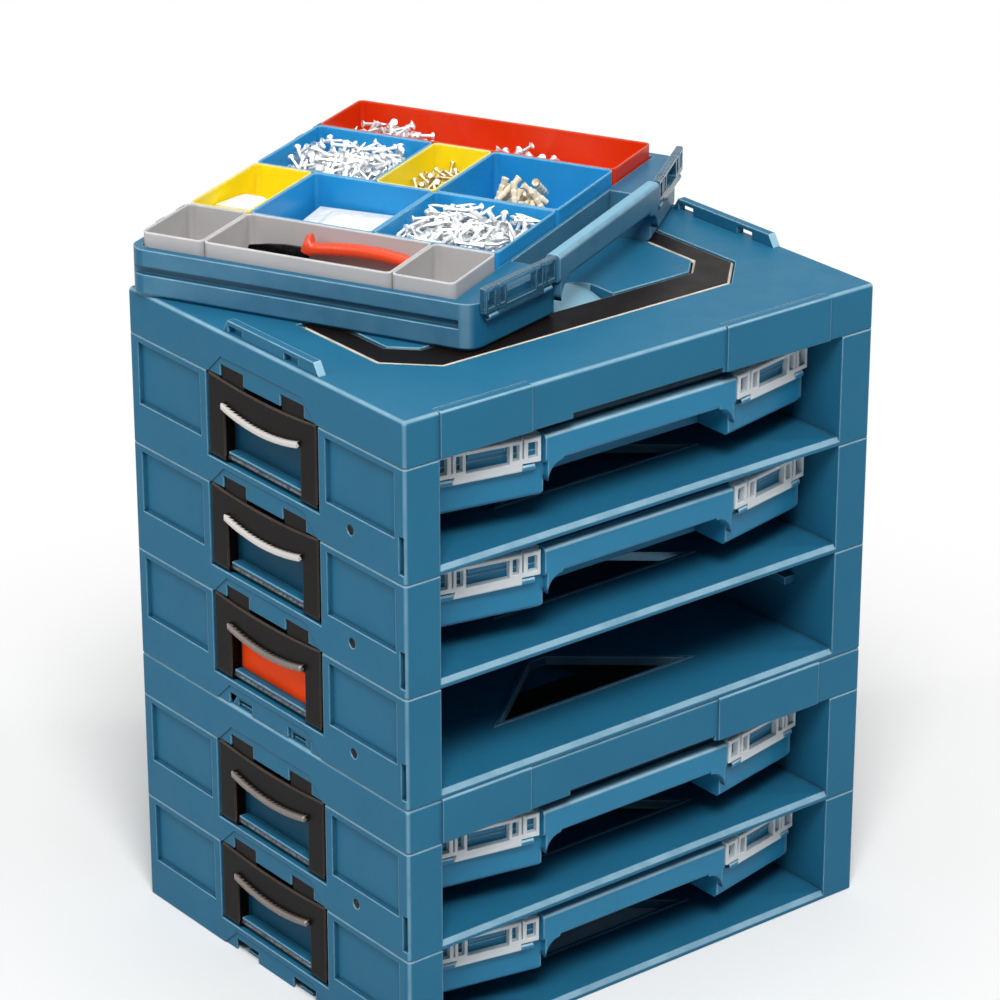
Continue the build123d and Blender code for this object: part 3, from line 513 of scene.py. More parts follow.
# Clean, strong colours, with broad pale rims that are a painted highlight
BIN_FINISH = {
    colour: MouldedPlastic(
        f"bin_{colour.value}_polystyrene", body, rim_highlight, roughness, edge_mm=reach, edge_share=share
    )
    for colour, body, rim_highlight, roughness, reach, share in (
        (BinColour.GREY, "#b9b6b6", "#ffffff", 0.32, 2.4, 1.0),
        (BinColour.YELLOW, "#fbe31e", "#fffbd6", 0.3, 2.4, 0.85),
        (BinColour.BLUE, "#2692cf", "#9fdcf5", 0.3, 2.4, 1.0),
        (BinColour.RED, "#df340b", "#f27a52", 0.3, 2.2, 0.6),
    )
}


def finish_of(finish: Finish) -> Material:
    """Gives a finish's material, made the first time that it is asked for."""
    return bpy.data.materials.get(finish.name) or finish.material()


def cover(piece: Object, finish: Finish) -> None:
    """Gives a piece its only finish."""
    piece.data.materials.clear()
    piece.data.materials.append(finish_of(finish))


def dress(nodes: Iterable[str], finish: Finish) -> list[str]:
    """Gives frame nodes a finish.

    Args:
        nodes: names of the nodes.
        finish: what they are made of.

    Returns:
        The names that were dressed.
    """
    done = []
    for name in nodes:
        cover(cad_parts[name], finish)
        done.append(name)
    return done


def dress_part(name: str, finish: Finish, test: Callable[[Vector], bool]) -> None:
    """Gives some faces of a frame node a second finish.

    Args:
        name: name of the node.
        finish: what those faces look like.
        test: says from a face's middle, in metres, whether it is one of them.
    """
    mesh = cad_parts[name].data
    mesh.materials.append(finish_of(finish))
    last = len(mesh.materials) - 1
    for face in mesh.polygons:
        if test(face.center):
            face.material_index = last


def begin(name: str, add: Callable[..., set[str]], **options: object) -> Object:
    """Adds a primitive by itself.

    Args:
        name: name of the new piece.
        add: the operator that adds the primitive.
        options: the primitive's size and place.

    Returns:
        The new object, active and in object mode.
    """
    if bpy.context.object and bpy.context.object.mode != "OBJECT":
        bpy.ops.object.mode_set(mode="OBJECT")
    bpy.ops.object.select_all(action="DESELECT")
    add(**options)
    piece = bpy.context.object
    piece.name = name
    piece.data.name = name
    return piece


def pick(piece: Object, test: Callable[[bmesh.types.BMFace], bool]) -> None:
    """Selects the faces of a piece that pass a test, in edit mode.

    Args:
        piece: the object to work on.
        test: says whether a face is wanted.
    """
    bpy.ops.object.mode_set(mode="EDIT")
    bpy.ops.mesh.select_mode(type="FACE")
    bpy.ops.mesh.select_all(action="DESELECT")
    mesh = bmesh.from_edit_mesh(piece.data)
    for face in mesh.faces:
        face.select_set(bool(test(face)))
    mesh.select_flush_mode()
    bmesh.update_edit_mesh(piece.data)


def up(height_mm: float) -> Vector:
    """Gives a vector straight up, in metres."""
    return Vector((0, 0, height_mm * MM))


def extrude(
    move: Vector, scale: Triple = (1.0, 1.0, 1.0), centre: Vector | None = None
) -> None:
    """Extrudes the selected faces, then scales the new ones.

    Args:
        move: how far the faces go.
        scale: size of the new faces against the old, along each axis.
        centre: point that the scaling keeps in place.
    """
    bpy.ops.mesh.extrude_region_move(TRANSFORM_OT_translate={"value": tuple(move)})
    if scale != (1.0, 1.0, 1.0):
        bpy.ops.transform.resize(value=scale, center_override=tuple(centre or Vector()))


def stretch(scale: Triple) -> None:
    """Scales all of the active piece about the origin, and leaves it selected in edit mode.

    Args:
        scale: new size against the old, along each axis.
    """
    bpy.ops.object.mode_set(mode="EDIT")
    bpy.ops.mesh.select_all(action="SELECT")
    bpy.ops.transform.resize(value=scale, center_override=(0, 0, 0))


def settle(piece: Object, angle: float = 35.0, bevel_mm: float = 0.0) -> Object:
    """Closes the work on a piece: normals outwards, edges softened, smooth shading by angle.

    Args:
        piece: the object to close.
        angle: widest turn between faces that still shades smooth, in degrees.
        bevel_mm: width of the rounding of sharp edges.

    Returns:
        The same object.
    """
    bpy.ops.object.mode_set(mode="EDIT")
    bpy.ops.mesh.select_all(action="SELECT")
    bpy.ops.mesh.remove_doubles(threshold=WELD_MM * MM)
    bpy.ops.mesh.normals_make_consistent(inside=False)
    bpy.ops.object.mode_set(mode="OBJECT")
    if bevel_mm:
        rounding = piece.modifiers.new("rounding", "BEVEL")
        rounding.width = bevel_mm * MM
        rounding.segments = ROUNDING_SEGMENTS
        rounding.limit_method = "ANGLE"
        bpy.ops.object.modifier_apply(modifier=rounding.name)
    bpy.ops.object.shade_smooth_by_angle(angle=math.radians(angle))
    return piece


def join(name: str, parts: list[Object]) -> Object:
    """Joins copies into one piece.

    Args:
        name: name of the joined piece.
        parts: the objects to join.

    Returns:
        The joined object.
    """
    bpy.ops.object.select_all(action="DESELECT")
    for part in parts:
        part.select_set(True)
    bpy.context.view_layer.objects.active = parts[0]
    if len(parts) > 1:
        bpy.ops.object.join()
    piece = bpy.context.object
    piece.name = name
    piece.data.name = name
    return piece


def copy_at(source: Object, place: Matrix) -> Object:
    """Copies a modelled piece to a place.

    Args:
        source: the piece to copy.
        place: where its mesh goes, in metres.

    Returns:
        The copy, with a mesh of its own.
    """
    twin = source.copy()
    twin.data = source.data.copy()
    twin.data.transform(place)
    bpy.context.scene.collection.objects.link(twin)
    return twin


def seen_rays(tree: NodeTree) -> NodeSocket:
    """Gives a socket that is 1 for what the camera sees, straight, mirrored or through clear plastic."""
    rays = add_node(tree, "LightPath")
    mirrored = add_node(
        tree,
        "Math",
        {"operation": "MAXIMUM"},
        {0: rays.outputs["Is Glossy Ray"], 1: rays.outputs["Is Transmission Ray"]},
    )
    seen = add_node(tree, "Math", {"operation": "MAXIMUM"}, {0: rays.outputs["Is Camera Ray"], 1: mirrored})
    return seen.outputs["Value"]


def within(length: float, limits_mm: Pair) -> bool:
    """Says whether a length in metres lies between two limits in millimetres."""
    return limits_mm[0] * MM < length < limits_mm[1] * MM


def open_case_matrix() -> Matrix:
    """Where the open case's own frame lies in the row frame, in metres."""
    return Matrix.Translation(OPEN_CASE_PLACE * MM) @ Matrix.Rotation(OPEN_CASE_TURN, 4, "Z")


@dataclass(frozen=True)
class Lamp:
    """A soft lamp with a rectangular face: its place and size in metres, and its power."""

    name: str
    place: Triple
    size: Pair
    watts: float


@dataclass
class Studio:
    """Floor, lamps, world and camera."""

    look_at: Vector = field(default_factory=lambda: Vector((0.0, 0.0, 0.3435)))
    azimuth: float = -38.37
    elevation: float = 23.48
    distance: float = 3.094
    slide: Pair = (-0.00104, -0.00539)
    lens_mm: float = 145.92
    sensor_mm: float = 36.0
    floor_side: float = 24.0
    floor_colour: str = "#f8f8f7"
    shadow_reach: Pair = (0.3, 0.85)
    floor_drop: float = 0.0004
    floor_cloud: float = 2.0
    floor_tone_share: float = 0.985
    floor_roughness: float = 0.9
    floor_specular: float = 0.1
    ambient: float = 0.09
    ambient_tint: Rgba = (0.93, 0.96, 1.0, 1.0)
    clip: Pair = (0.1, 60.0)
    lamps: tuple[Lamp, ...] = (
        Lamp("key", (-1.35, -1.85, 3.2), (1.3, 1.3), 118.0),
        Lamp("top", (0.2, 0.2, 2.7), (1.6, 1.6), 17.0),
        Lamp("edge_right", (1.48, -1.04, 2.21), (0.25, 1.8), 12.0),
        Lamp("edge_left", (-1.9, 0.9, 1.6), (0.3, 1.8), 13.0),
    )

    def put_up(self, name: str, data: Camera | Light, place: Vector, turn: Quaternion) -> Object:
        """Adds a camera or a lamp to the scene.

        Args:
            name: name of the object.
            data: the camera or lamp.
            place: where it stands.
            turn: the way that it looks.

        Returns:
            The new object.
        """
        thing = bpy.data.objects.new(name, data)
        bpy.context.scene.collection.objects.link(thing)
        thing.location = place
        thing.rotation_mode = "QUATERNION"
        thing.rotation_quaternion = turn
        return thing

    def camera(self) -> None:
        """Puts the camera where the photograph was taken from."""
        angle, rise = math.radians(self.azimuth), math.radians(self.elevation)
        back = Vector((math.sin(angle) * math.cos(rise), -math.cos(angle) * math.cos(rise), math.sin(rise)))
        right = Vector((math.cos(angle), math.sin(angle), 0.0))
        above = back.cross(right)
        data = bpy.data.cameras.new("camera")
        data.lens = self.lens_mm
        data.sensor_width = self.sensor_mm
        data.clip_start, data.clip_end = self.clip
        place = self.look_at + back * self.distance + right * self.slide[0] + above * self.slide[1]
        turn = Matrix((right, above, back)).transposed().to_quaternion()
        bpy.context.scene.camera = self.put_up("camera", data, place, turn)

    def hang(self, lamp: Lamp) -> None:
        """Adds a lamp that faces the object.

        Args:
            lamp: its place, size and power.
        """
        data = bpy.data.lights.new(lamp.name, "AREA")
        data.shape = "RECTANGLE"
        data.size, data.size_y = lamp.size
        data.energy = lamp.watts
        aim = Vector(lamp.place) - self.look_at
        self.put_up(lamp.name, data, Vector(lamp.place), aim.to_track_quat("Z", "Y"))

    def floor(self) -> None:
        """Lays the plain pale floor."""
        low = (0, 0, -self.floor_drop)
        plane = begin("floor", bpy.ops.mesh.primitive_plane_add, size=self.floor_side, location=low)
        material, shader, place = new_material("floor_pale")
        tree = material.node_tree
        cloud = add_node(
            tree,
            "TexNoise",
            {"Scale": self.floor_cloud, "Detail": 2.0},
            {"Vector": place.outputs["Object"]},
        )
        base = Vector(linear(self.floor_colour)[:3])
        tint = add_node(
            tree,
            "Mix",
            {"data_type": "RGBA", 6: (*(base * self.floor_tone_share), 1.0), 7: (*base, 1.0)},
            {0: cloud},
        )
        dull = {"Roughness": self.floor_roughness, "Specular IOR Level": self.floor_specular}
        set_up(shader, dull, {"Base Color": tint})
        away = add_node(tree, "VectorMath", {"operation": "LENGTH"}, {0: place.outputs["Object"]})
        fade = add_node(
            tree,
            "MapRange",
            {"interpolation_type": "SMOOTHSTEP", **span(self.shadow_reach)},
            {"Value": away},
        )
        part = add_node(tree, "Math", {"operation": "MULTIPLY"}, {0: seen_rays(tree), 1: fade})
        white = add_node(tree, "Emission", {"Color": WHITE, "Strength": 1.0})
        both = add_node(tree, "MixShader", None, {0: part, 1: shader, 2: white})
        ending = next(node for node in tree.nodes if node.type == "OUTPUT_MATERIAL")
        set_up(ending, None, {"Surface": both})
        plane.data.materials.append(material)
        plane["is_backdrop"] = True

    def world(self) -> None:
        """Lights the scene softly from all round, with a white background where it is seen or mirrored."""
        world = bpy.data.worlds.new("studio")
        world.use_nodes = True
        tree = world.node_tree
        tree.nodes.clear()
        soft = add_node(tree, "Background", {"Color": self.ambient_tint, "Strength": self.ambient})
        white = add_node(tree, "Background", {"Color": WHITE, "Strength": 1.0})
        both = add_node(tree, "MixShader", None, {0: seen_rays(tree), 1: soft, 2: white})
        add_node(tree, "OutputWorld", None, {"Surface": both})
        bpy.context.scene.world = world

    def build(self) -> None:
        """Sets up the whole studio."""
        bpy.context.scene.view_settings.view_transform = "Standard"
        self.camera()
        self.floor()
        self.world()
        for lamp in self.lamps:
            self.hang(lamp)


@dataclass
class RackStack:
    """The stacked bays and lids, with their screws and marker plates."""

    bays: int = 5
    lids: tuple[str, ...] = ("upper", "lower")
    pocket_x: Pair = (210.4, 211.6)
    pocket_y: float = 66.0
    catch_slope_y: float = -58.0
    scoop_x: float = 52.0
    scoop_y: Pair = (-67.0, -28.5)
    scoop_z: Pair = (497.0, 513.2)

    def in_pocket(self, middle: Vector) -> bool:
        """Says whether a face is the floor of a clip's pocket."""
        return within(abs(middle.x), self.pocket_x) and abs(middle.y) < self.pocket_y * MM

    def in_scoop(self, middle: Vector) -> bool:
        """Says whether a face lies in the finger scoop of the upper lid."""
        beside = abs(middle.x) < self.scoop_x * MM and within(middle.y, self.scoop_y)
        return beside and within(middle.z, self.scoop_z)

    def build(self) -> list[str]:
        """Dresses the rack's nodes and returns their names."""
        done = dress((f"bay_{number}" for number in range(1, self.bays + 1)), RACK_BLUE)
        for name in done:
            # Painted shade on the floor of each clip's pocket
            dress_part(name, RACK_SHADE, self.in_pocket)
        done += dress((f"rack_lid_{name}" for name in self.lids), RACK_BLUE)
        # Painted highlight in the finger scoop of the upper lid
        dress_part("rack_lid_upper", SCOOP_HIGHLIGHT, self.in_scoop)
        done += dress((f"lid_catches_{name}" for name in self.lids), RACK_BLUE)
        # Painted highlight on the front slopes of the catches
        for name in self.lids:
            dress_part(f"lid_catches_{name}", CATCH_HIGHLIGHT, lambda middle: middle.y < self.catch_slope_y * MM)
        done += dress(("side_screws",), DARK_SCREW)
        done += dress(("marker_plates",), MARKER_ORANGE)
        return done


@dataclass
class SideClips:
    """The swinging clips on both sides of each bay, and their pins."""

    bays: int = 5
    # Bays whose grips get the nearly white painted highlight; the others get a grey painted sheen
    highlit: tuple[int, ...] = (1, 2)
    face_x: float = 221.0
    grip_start: float = 0.8

    def build(self) -> list[str]:
        """Dresses the clips and their grips, and returns their names."""
        done = []
        out = (self.face_x + self.grip_start) * MM
        for side in Side:
            for number in range(1, self.bays + 1):
                name = f"clip_{side.value}_{number}"
                done += dress((name,), CLIP_BLACK)
                # Painted highlight on the grip arc: nearly white on the bays listed above, a grey sheen on
                # the rest
                grip = GRIP_PAINTED_HIGHLIGHT if number in self.highlit else GRIP_PAINTED_SHEEN
                dress_part(name, grip, lambda middle: abs(middle.x) > out)
        return done + dress(("clip_pins",), STEEL_PIN)


@dataclass
class CarryHandles:
    """The flat handles in the wells of both lids."""

    names: tuple[str, ...] = ("carry_handle_upper", "carry_handle_lower")

    def build(self) -> list[str]:
        """Dresses the handles and returns their names."""
        return dress(self.names, HANDLE_BLACK) + dress(("handle_pins",), STEEL_PIN)


@dataclass
class ClosedCases:
    """The cases in the bays: base, lid, latches and pins of each."""

    numbers: tuple[int, ...] = (1, 2, 4, 5)
    levels: tuple[float, ...] = (389.5, 301.0, 88.5, 0.0)
    bar_y: Pair = (-165.5, -152.5)
    bar_top: float = 78.0

    def on_bar(self, level: float) -> Callable[[Vector], bool]:
        """Gives the test for faces on top of the handle bar of the case at a level."""
        low = (level + self.bar_top) * MM
        return lambda middle: middle.z > low and within(middle.y, self.bar_y)

    def build(self) -> list[str]:
        """Dresses the cases and returns their nodes."""
        done = dress((f"case_{number}_base" for number in self.numbers), CASE_BLUE)
        for name, level in zip(done, self.levels):
            # Painted highlight on top of the handle bar
            dress_part(name, BAR_HIGHLIGHT, self.on_bar(level))
        done += dress((f"case_{number}_lid" for number in self.numbers), CASE_LID_BLUE)
        done += dress((f"case_{number}_pins" for number in self.numbers), STEEL_PIN)
        for side in Side:
            done += dress((f"case_{number}_latch_{side.value}" for number in self.numbers), CLEAR_LATCH)
        return done


@dataclass
class OpenCase:
    """The open case on the stack, without its bins."""

    bar_y: Pair = (-158.5, -145.5)
    bar_top: float = 48.0

    def on_bar(self, middle: Vector) -> bool:
        """Says whether a face lies on top of the handle bar."""
        place = open_case_matrix().inverted() @ middle
        return place.z > self.bar_top * MM and within(place.y, self.bar_y)

    def build(self) -> list[str]:
        """Dresses the open case and returns its nodes."""
        done = dress(("open_case_base",), OPEN_CASE_SHADED_BLUE)
        # Painted highlight on top of the handle bar
        dress_part("open_case_base", BAR_HIGHLIGHT, self.on_bar)
        done += dress((f"open_case_latch_{side.value}" for side in Side), SHADED_LATCH)
        return done + dress(("open_case_pins",), STEEL_PIN)


@dataclass(frozen=True)
class BinCell:
    """Inside of one bin in the open case's frame, in millimetres."""

    node: str
    colour: BinColour
    left: float
    right: float
    front: float
    rear: float


# Column of each bin, and its first and last line of rows, from the rear
BIN_LAYOUT = {
    "bin_grey_rear": (0, 0, 1),
    "bin_grey_long": (0, 1, 4),
    "bin_grey_front": (0, 4, 5),
    "bin_yellow_rear": (1, 0, 1),
    "bin_blue_middle": (1, 1, 3),
    "bin_blue_front": (1, 3, 5),
    "bin_blue_rear": (2, 0, 2),
    "bin_yellow_middle": (2, 2, 3),
    "bin_blue_corner": (2, 3, 5),
    "bin_red_long": (3, 0, 5),
}


@dataclass
class BinSet:
    """The lift-out bins, laid out in four columns."""

    column_lines: tuple[float, ...] = (-175.5, -104.0, 0.0, 104.0, 175.5)
    rear: float = 143.8
    front: float = -114.0
    rows: int = 5
    wall: float = 1.5
    gap: float = 0.6

    def cell(self, node: str) -> BinCell:
        """Works out the inside of a bin.

        Args:
            node: name of the bin.

        Returns:
            Its colour and inner walls.
        """
        column, first, last = BIN_LAYOUT[node]
        step = (self.rear - self.front) / self.rows
        inset = self.wall + self.gap / 2
        return BinCell(
            node,
            BinColour(node.split("_")[1]),
            self.column_lines[column] + inset,
            self.column_lines[column + 1] - inset,
            self.rear - step * last + inset,
            self.rear - step * first - inset,
        )

    def build(self) -> list[str]:
        """Dresses the bins and returns their names."""
        done = []
        for node in BIN_LAYOUT:
            done += dress((node,), BIN_FINISH[self.cell(node).colour])
        return done


@dataclass(frozen=True)
class SmallPart:
    """A small part that stands on Z about the origin, and the balls that stand for it in a heap."""

    source: Object
    along: np.ndarray
    radii: np.ndarray
    pitch: tuple[int, int] = (-48, 48)
    gathered: bool = False


@dataclass
class PartMaker:
    """Models the small parts once each, in millimetres."""

    sides: int = 8
    tip_share: float = 0.22
    tip_end: Triple = (0.12, 0.12, 1.0)
    tip_ball_share: float = 0.4
    head_rim: float = 0.5
    socket_share: float = 0.5
    socket_depth: float = 0.7
    screw_steps: tuple[float, ...] = (0.04, 0.2, 0.36, 0.52, 0.68, 0.84, 0.97)
    ribs: int = 4
    rib_rise: float = 0.75
    rib_swell: Triple = (1.28, 1.28, 1.0)
    rib_shrink: Triple = (0.781, 0.781, 1.0)
    foot: float = 2.0
    neck_share: float = 0.78
    collar_swell: Triple = (1.5, 1.5, 1.0)
    bore_share: float = 0.55
    bore_depth: float = 3.0
    plug_pitch: tuple[int, int] = (38, 78)
    plug_steps: tuple[float, ...] = (0.06, 0.24, 0.42, 0.6, 0.78, 0.94)

    def barrel(self, name: str, radius: float, depth: float) -> Object:
        """Starts a part as a cylinder.

        Args:
            name: name of the model.
            radius: radius of the cylinder.
            depth: its height.

        Returns:
            The model, in edit mode with its top selected.
        """
        piece = begin(
            name,
            bpy.ops.mesh.primitive_cylinder_add,
            vertices=self.sides,
            radius=radius * MM,
            depth=depth * MM,
        )
        pick(piece, lambda face: face.normal.z > FACING)
        return piece

    def screw(self, name: str, length: float, shank: float, head: float) -> SmallPart:
        """Models a countersunk wood screw.

        Args:
            name: name of the model.
            length: full length.
            shank: radius of the shank.
            head: radius of the head.

        Returns:
            The part.
        """
        tip, rise = length * self.tip_share, head - shank
        body = length - tip - rise
        piece = self.barrel(name, shank, body)
        extrude(up(rise), (head / shank, head / shank, 1.0), up(body / 2 + rise))
        extrude(up(self.head_rim))
        bpy.ops.mesh.inset(thickness=head * self.socket_share * MM, depth=-self.socket_depth * MM)
        pick(piece, lambda face: face.normal.z < -FACING)
        extrude(up(-tip), self.tip_end, up(-body / 2 - tip))
        settle(piece, angle=50)
        middle = (rise + self.head_rim - tip) / 2
        for vertex in piece.data.vertices:
            vertex.co.z -= middle * MM
        along = np.array([-length / 2 + length * share for share in self.screw_steps])
        radii = np.full(len(along), shank)
        radii[0], radii[-1] = shank * self.tip_ball_share, head
        return SmallPart(piece, along, radii)

    def plug(self, name: str, length: float, radius: float) -> SmallPart:
        """Models a ribbed wall plug with a collar.

        Args:
            name: name of the model.
            length: full length.
            radius: radius of the barrel.

        Returns:
            The part.
        """
        step = (length - self.foot) / self.ribs
        piece = self.barrel(name, radius * self.neck_share, self.foot)
        at = self.foot / 2
        for _ in range(self.ribs):
            for share, scale in ((self.rib_rise, self.rib_swell), (1 - self.rib_rise, self.rib_shrink)):
                at += step * share
                extrude(up(step * share), scale, up(at))
        bpy.ops.transform.resize(value=self.collar_swell, center_override=tuple(up(at)))
        bpy.ops.mesh.inset(thickness=radius * self.bore_share * MM, depth=-self.bore_depth * MM)
        settle(piece, angle=30)
        for vertex in piece.data.vertices:
            vertex.co.z -= (length / 2 - self.foot / 2) * MM
        along = np.array([-length / 2 + length * share for share in self.plug_steps])
        return SmallPart(piece, along, np.full(len(along), radius), self.plug_pitch, gathered=True)


@dataclass(frozen=True)
class Drop:
    """Where a dropped part comes to lie: height and place of its middle, direction, places of its balls."""

    rest: float
    x: float
    y: float
    way: np.ndarray
    balls_x: np.ndarray
    balls_y: np.ndarray


@dataclass
class Pile:
    """A loose heap in a bin: parts are dropped one by one and settle on what lies below them."""

    name: str
    cell: BinCell
    part: SmallPart
    finish: Finish
    count: int
    middle: Pair = (0.5, 0.5)
    spread: Pair = (0.3, 0.3)
    seed: int = 1
    top: float = BIN_TOP
    gather_share: float = 0.25
    pitch_step: int = 8
    tries: int = 5
    feelers: tuple[Pair, ...] = ((0, 0), (0.7, 0), (-0.7, 0), (0, 0.7), (0, -0.7))

    def drops(self, heights: np.ndarray, chance: random.Random) -> Iterator[Drop]:
        """Tries one place for a part, at every pitch that keeps it in the bin.

        Args:
            heights: height of the heap at each millimetre of the bin.
            chance: source of the place and turn.

        Yields:
            Where the part would lie.
        """
        wide, deep = self.cell.right - self.cell.left, self.cell.rear - self.cell.front
        along, radii = self.part.along, self.part.radii
        at_x = chance.gauss(self.middle[0], self.spread[0]) * wide
        at_y = chance.gauss(self.middle[1], self.spread[1]) * deep
        yaw = chance.uniform(0, math.tau)
        if self.part.gathered:
            inward = math.atan2(self.middle[1] * deep - at_y, self.middle[0] * wide - at_x)
            yaw = inward + (yaw - math.pi) * self.gather_share
        for pitch in np.radians(np.arange(self.part.pitch[0], self.part.pitch[1] + 1, self.pitch_step)):
            level = math.cos(pitch)
            way = np.array([level * math.cos(yaw), level * math.sin(yaw), math.sin(pitch)])
            x, y = at_x + along * way[0], at_y + along * way[1]
            inside = (x > radii).all() and (x < wide - radii).all()
            if not (inside and (y > radii).all() and (y < deep - radii).all()):
                continue
            below = []
            for dx, dy in self.feelers:
                column = np.clip((x + dx * radii).astype(int), 0, None)
                row = np.clip((y + dy * radii).astype(int), 0, None)
                below.append(heights[column, row])
            rest = (np.max(below, axis=0) + radii - along * way[2]).max()
            if rest + (along * way[2] + radii).max() < self.top:
                yield Drop(rest, at_x, at_y, way, x, y)

    def heap_up(self, heights: np.ndarray, drop: Drop) -> None:
        """Raises the heap's heights by a part that has come to lie.

        Args:
            heights: height of the heap at each millimetre of the bin.
            drop: where the part lies.
        """
        grid_x, grid_y = np.meshgrid(np.arange(heights.shape[0]), np.arange(heights.shape[1]), indexing="ij")
        for x, y, slide, radius in zip(drop.balls_x, drop.balls_y, self.part.along, self.part.radii):
            gap = (grid_x - x) ** 2 + (grid_y - y) ** 2
            near = gap < radius**2
            cap = drop.rest + slide * drop.way[2] + np.sqrt(np.maximum(radius**2 - gap, 0))
            heights[near] = np.maximum(heights[near], cap[near])

    def build(self) -> Object:
        """Drops the parts, joins them and returns the heap, riding on its bin."""
        cell, chance = self.cell, random.Random(self.seed)
        heights = np.full((int(cell.right - cell.left) + 2, int(cell.rear - cell.front) + 2), BIN_FLOOR)
        parts = []
        for _ in range(self.count):
            found = [drop for _ in range(self.tries) for drop in self.drops(heights, chance)]
            if not found:
                continue
            best = min(found, key=lambda drop: drop.rest)
            self.heap_up(heights, best)
            turn = Vector((0, 0, 1)).rotation_difference(Vector(best.way)).to_matrix().to_4x4()
            spin = Matrix.Rotation(chance.uniform(0, math.tau), 4, "Z")
            seat = Matrix.Translation(Vector((cell.left + best.x, cell.front + best.y, best.rest)) * MM)
            parts.append(copy_at(self.part.source, open_case_matrix() @ seat @ turn @ spin))
        piece = join(self.name, parts)
        cover(piece, self.finish)
        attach(piece, cell.node)
        return piece


@dataclass
class BagStack:
    """Flat bagged cards lying on each other in a bin."""

    name: str
    cell: BinCell
    size: Triple
    middle: Pair
    count: int
    turn: float
    lean: float = 0.0
    seed: int = 5
    flat_share: float = 0.35
    cuts: int = 5
    # Filled part of the front, in shares of the bag: half its width, front and rear
    pouch: Triple = (0.36, -0.42, 0.3)
    puffs: tuple[tuple[float, Triple], ...] = (
        (0.4, (0.9, 0.9, 1.0)),
        (0.25, (0.78, 0.82, 1.0)),
    )
    shift: float = 1.5
    twist: float = 0.06
    lie_share: float = 0.2

    def bag(self) -> Object:
        """Models one bag: a flat card with a header fold and a soft, filled front."""
        wide, deep, thick = self.size
        piece = begin(f"{self.name}_model", bpy.ops.mesh.primitive_cube_add, size=1.0)
        stretch((wide * MM, deep * MM, thick * self.flat_share * MM))
        bpy.ops.mesh.subdivide(number_cuts=self.cuts)
        beside, front, rear = wide * self.pouch[0] * MM, deep * self.pouch[1] * MM, deep * self.pouch[2] * MM
        pick(
            piece,
            lambda face: face.normal.z > FACING
            and abs(face.calc_center_median().x) < beside
            and front < face.calc_center_median().y < rear,
        )
        for share, scale in self.puffs:
            extrude(up(thick * share), scale, up(thick))
        return settle(piece, angle=60, bevel_mm=0.5)

    def build(self) -> Object:
        """Stacks the bags and returns the piece, riding on its bin."""
        model, chance, cell = self.bag(), random.Random(self.seed), self.cell
        middle_x = cell.left + (cell.right - cell.left) * self.middle[0]
        middle_y = cell.front + (cell.rear - cell.front) * self.middle[1]
        rise = abs(math.sin(self.lean)) * self.size[0] / 2
        copies = []
        for level in range(self.count):
            x = middle_x + chance.uniform(-self.shift, self.shift)
            y = middle_y + chance.uniform(-self.shift, self.shift)
            z = BIN_FLOOR + self.size[2] * (level + self.lie_share) + rise
            turn = Matrix.Rotation(self.turn + chance.uniform(-self.twist, self.twist), 4, "Z")
            seat = Matrix.Translation(Vector((x, y, z)) * MM) @ turn @ Matrix.Rotation(self.lean, 4, "Y")
            copies.append(copy_at(model, open_case_matrix() @ seat))
        bpy.data.objects.remove(model)
        piece = join(self.name, copies)
        cover(piece, BAG_WHITE)
        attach(piece, cell.node)
        return piece


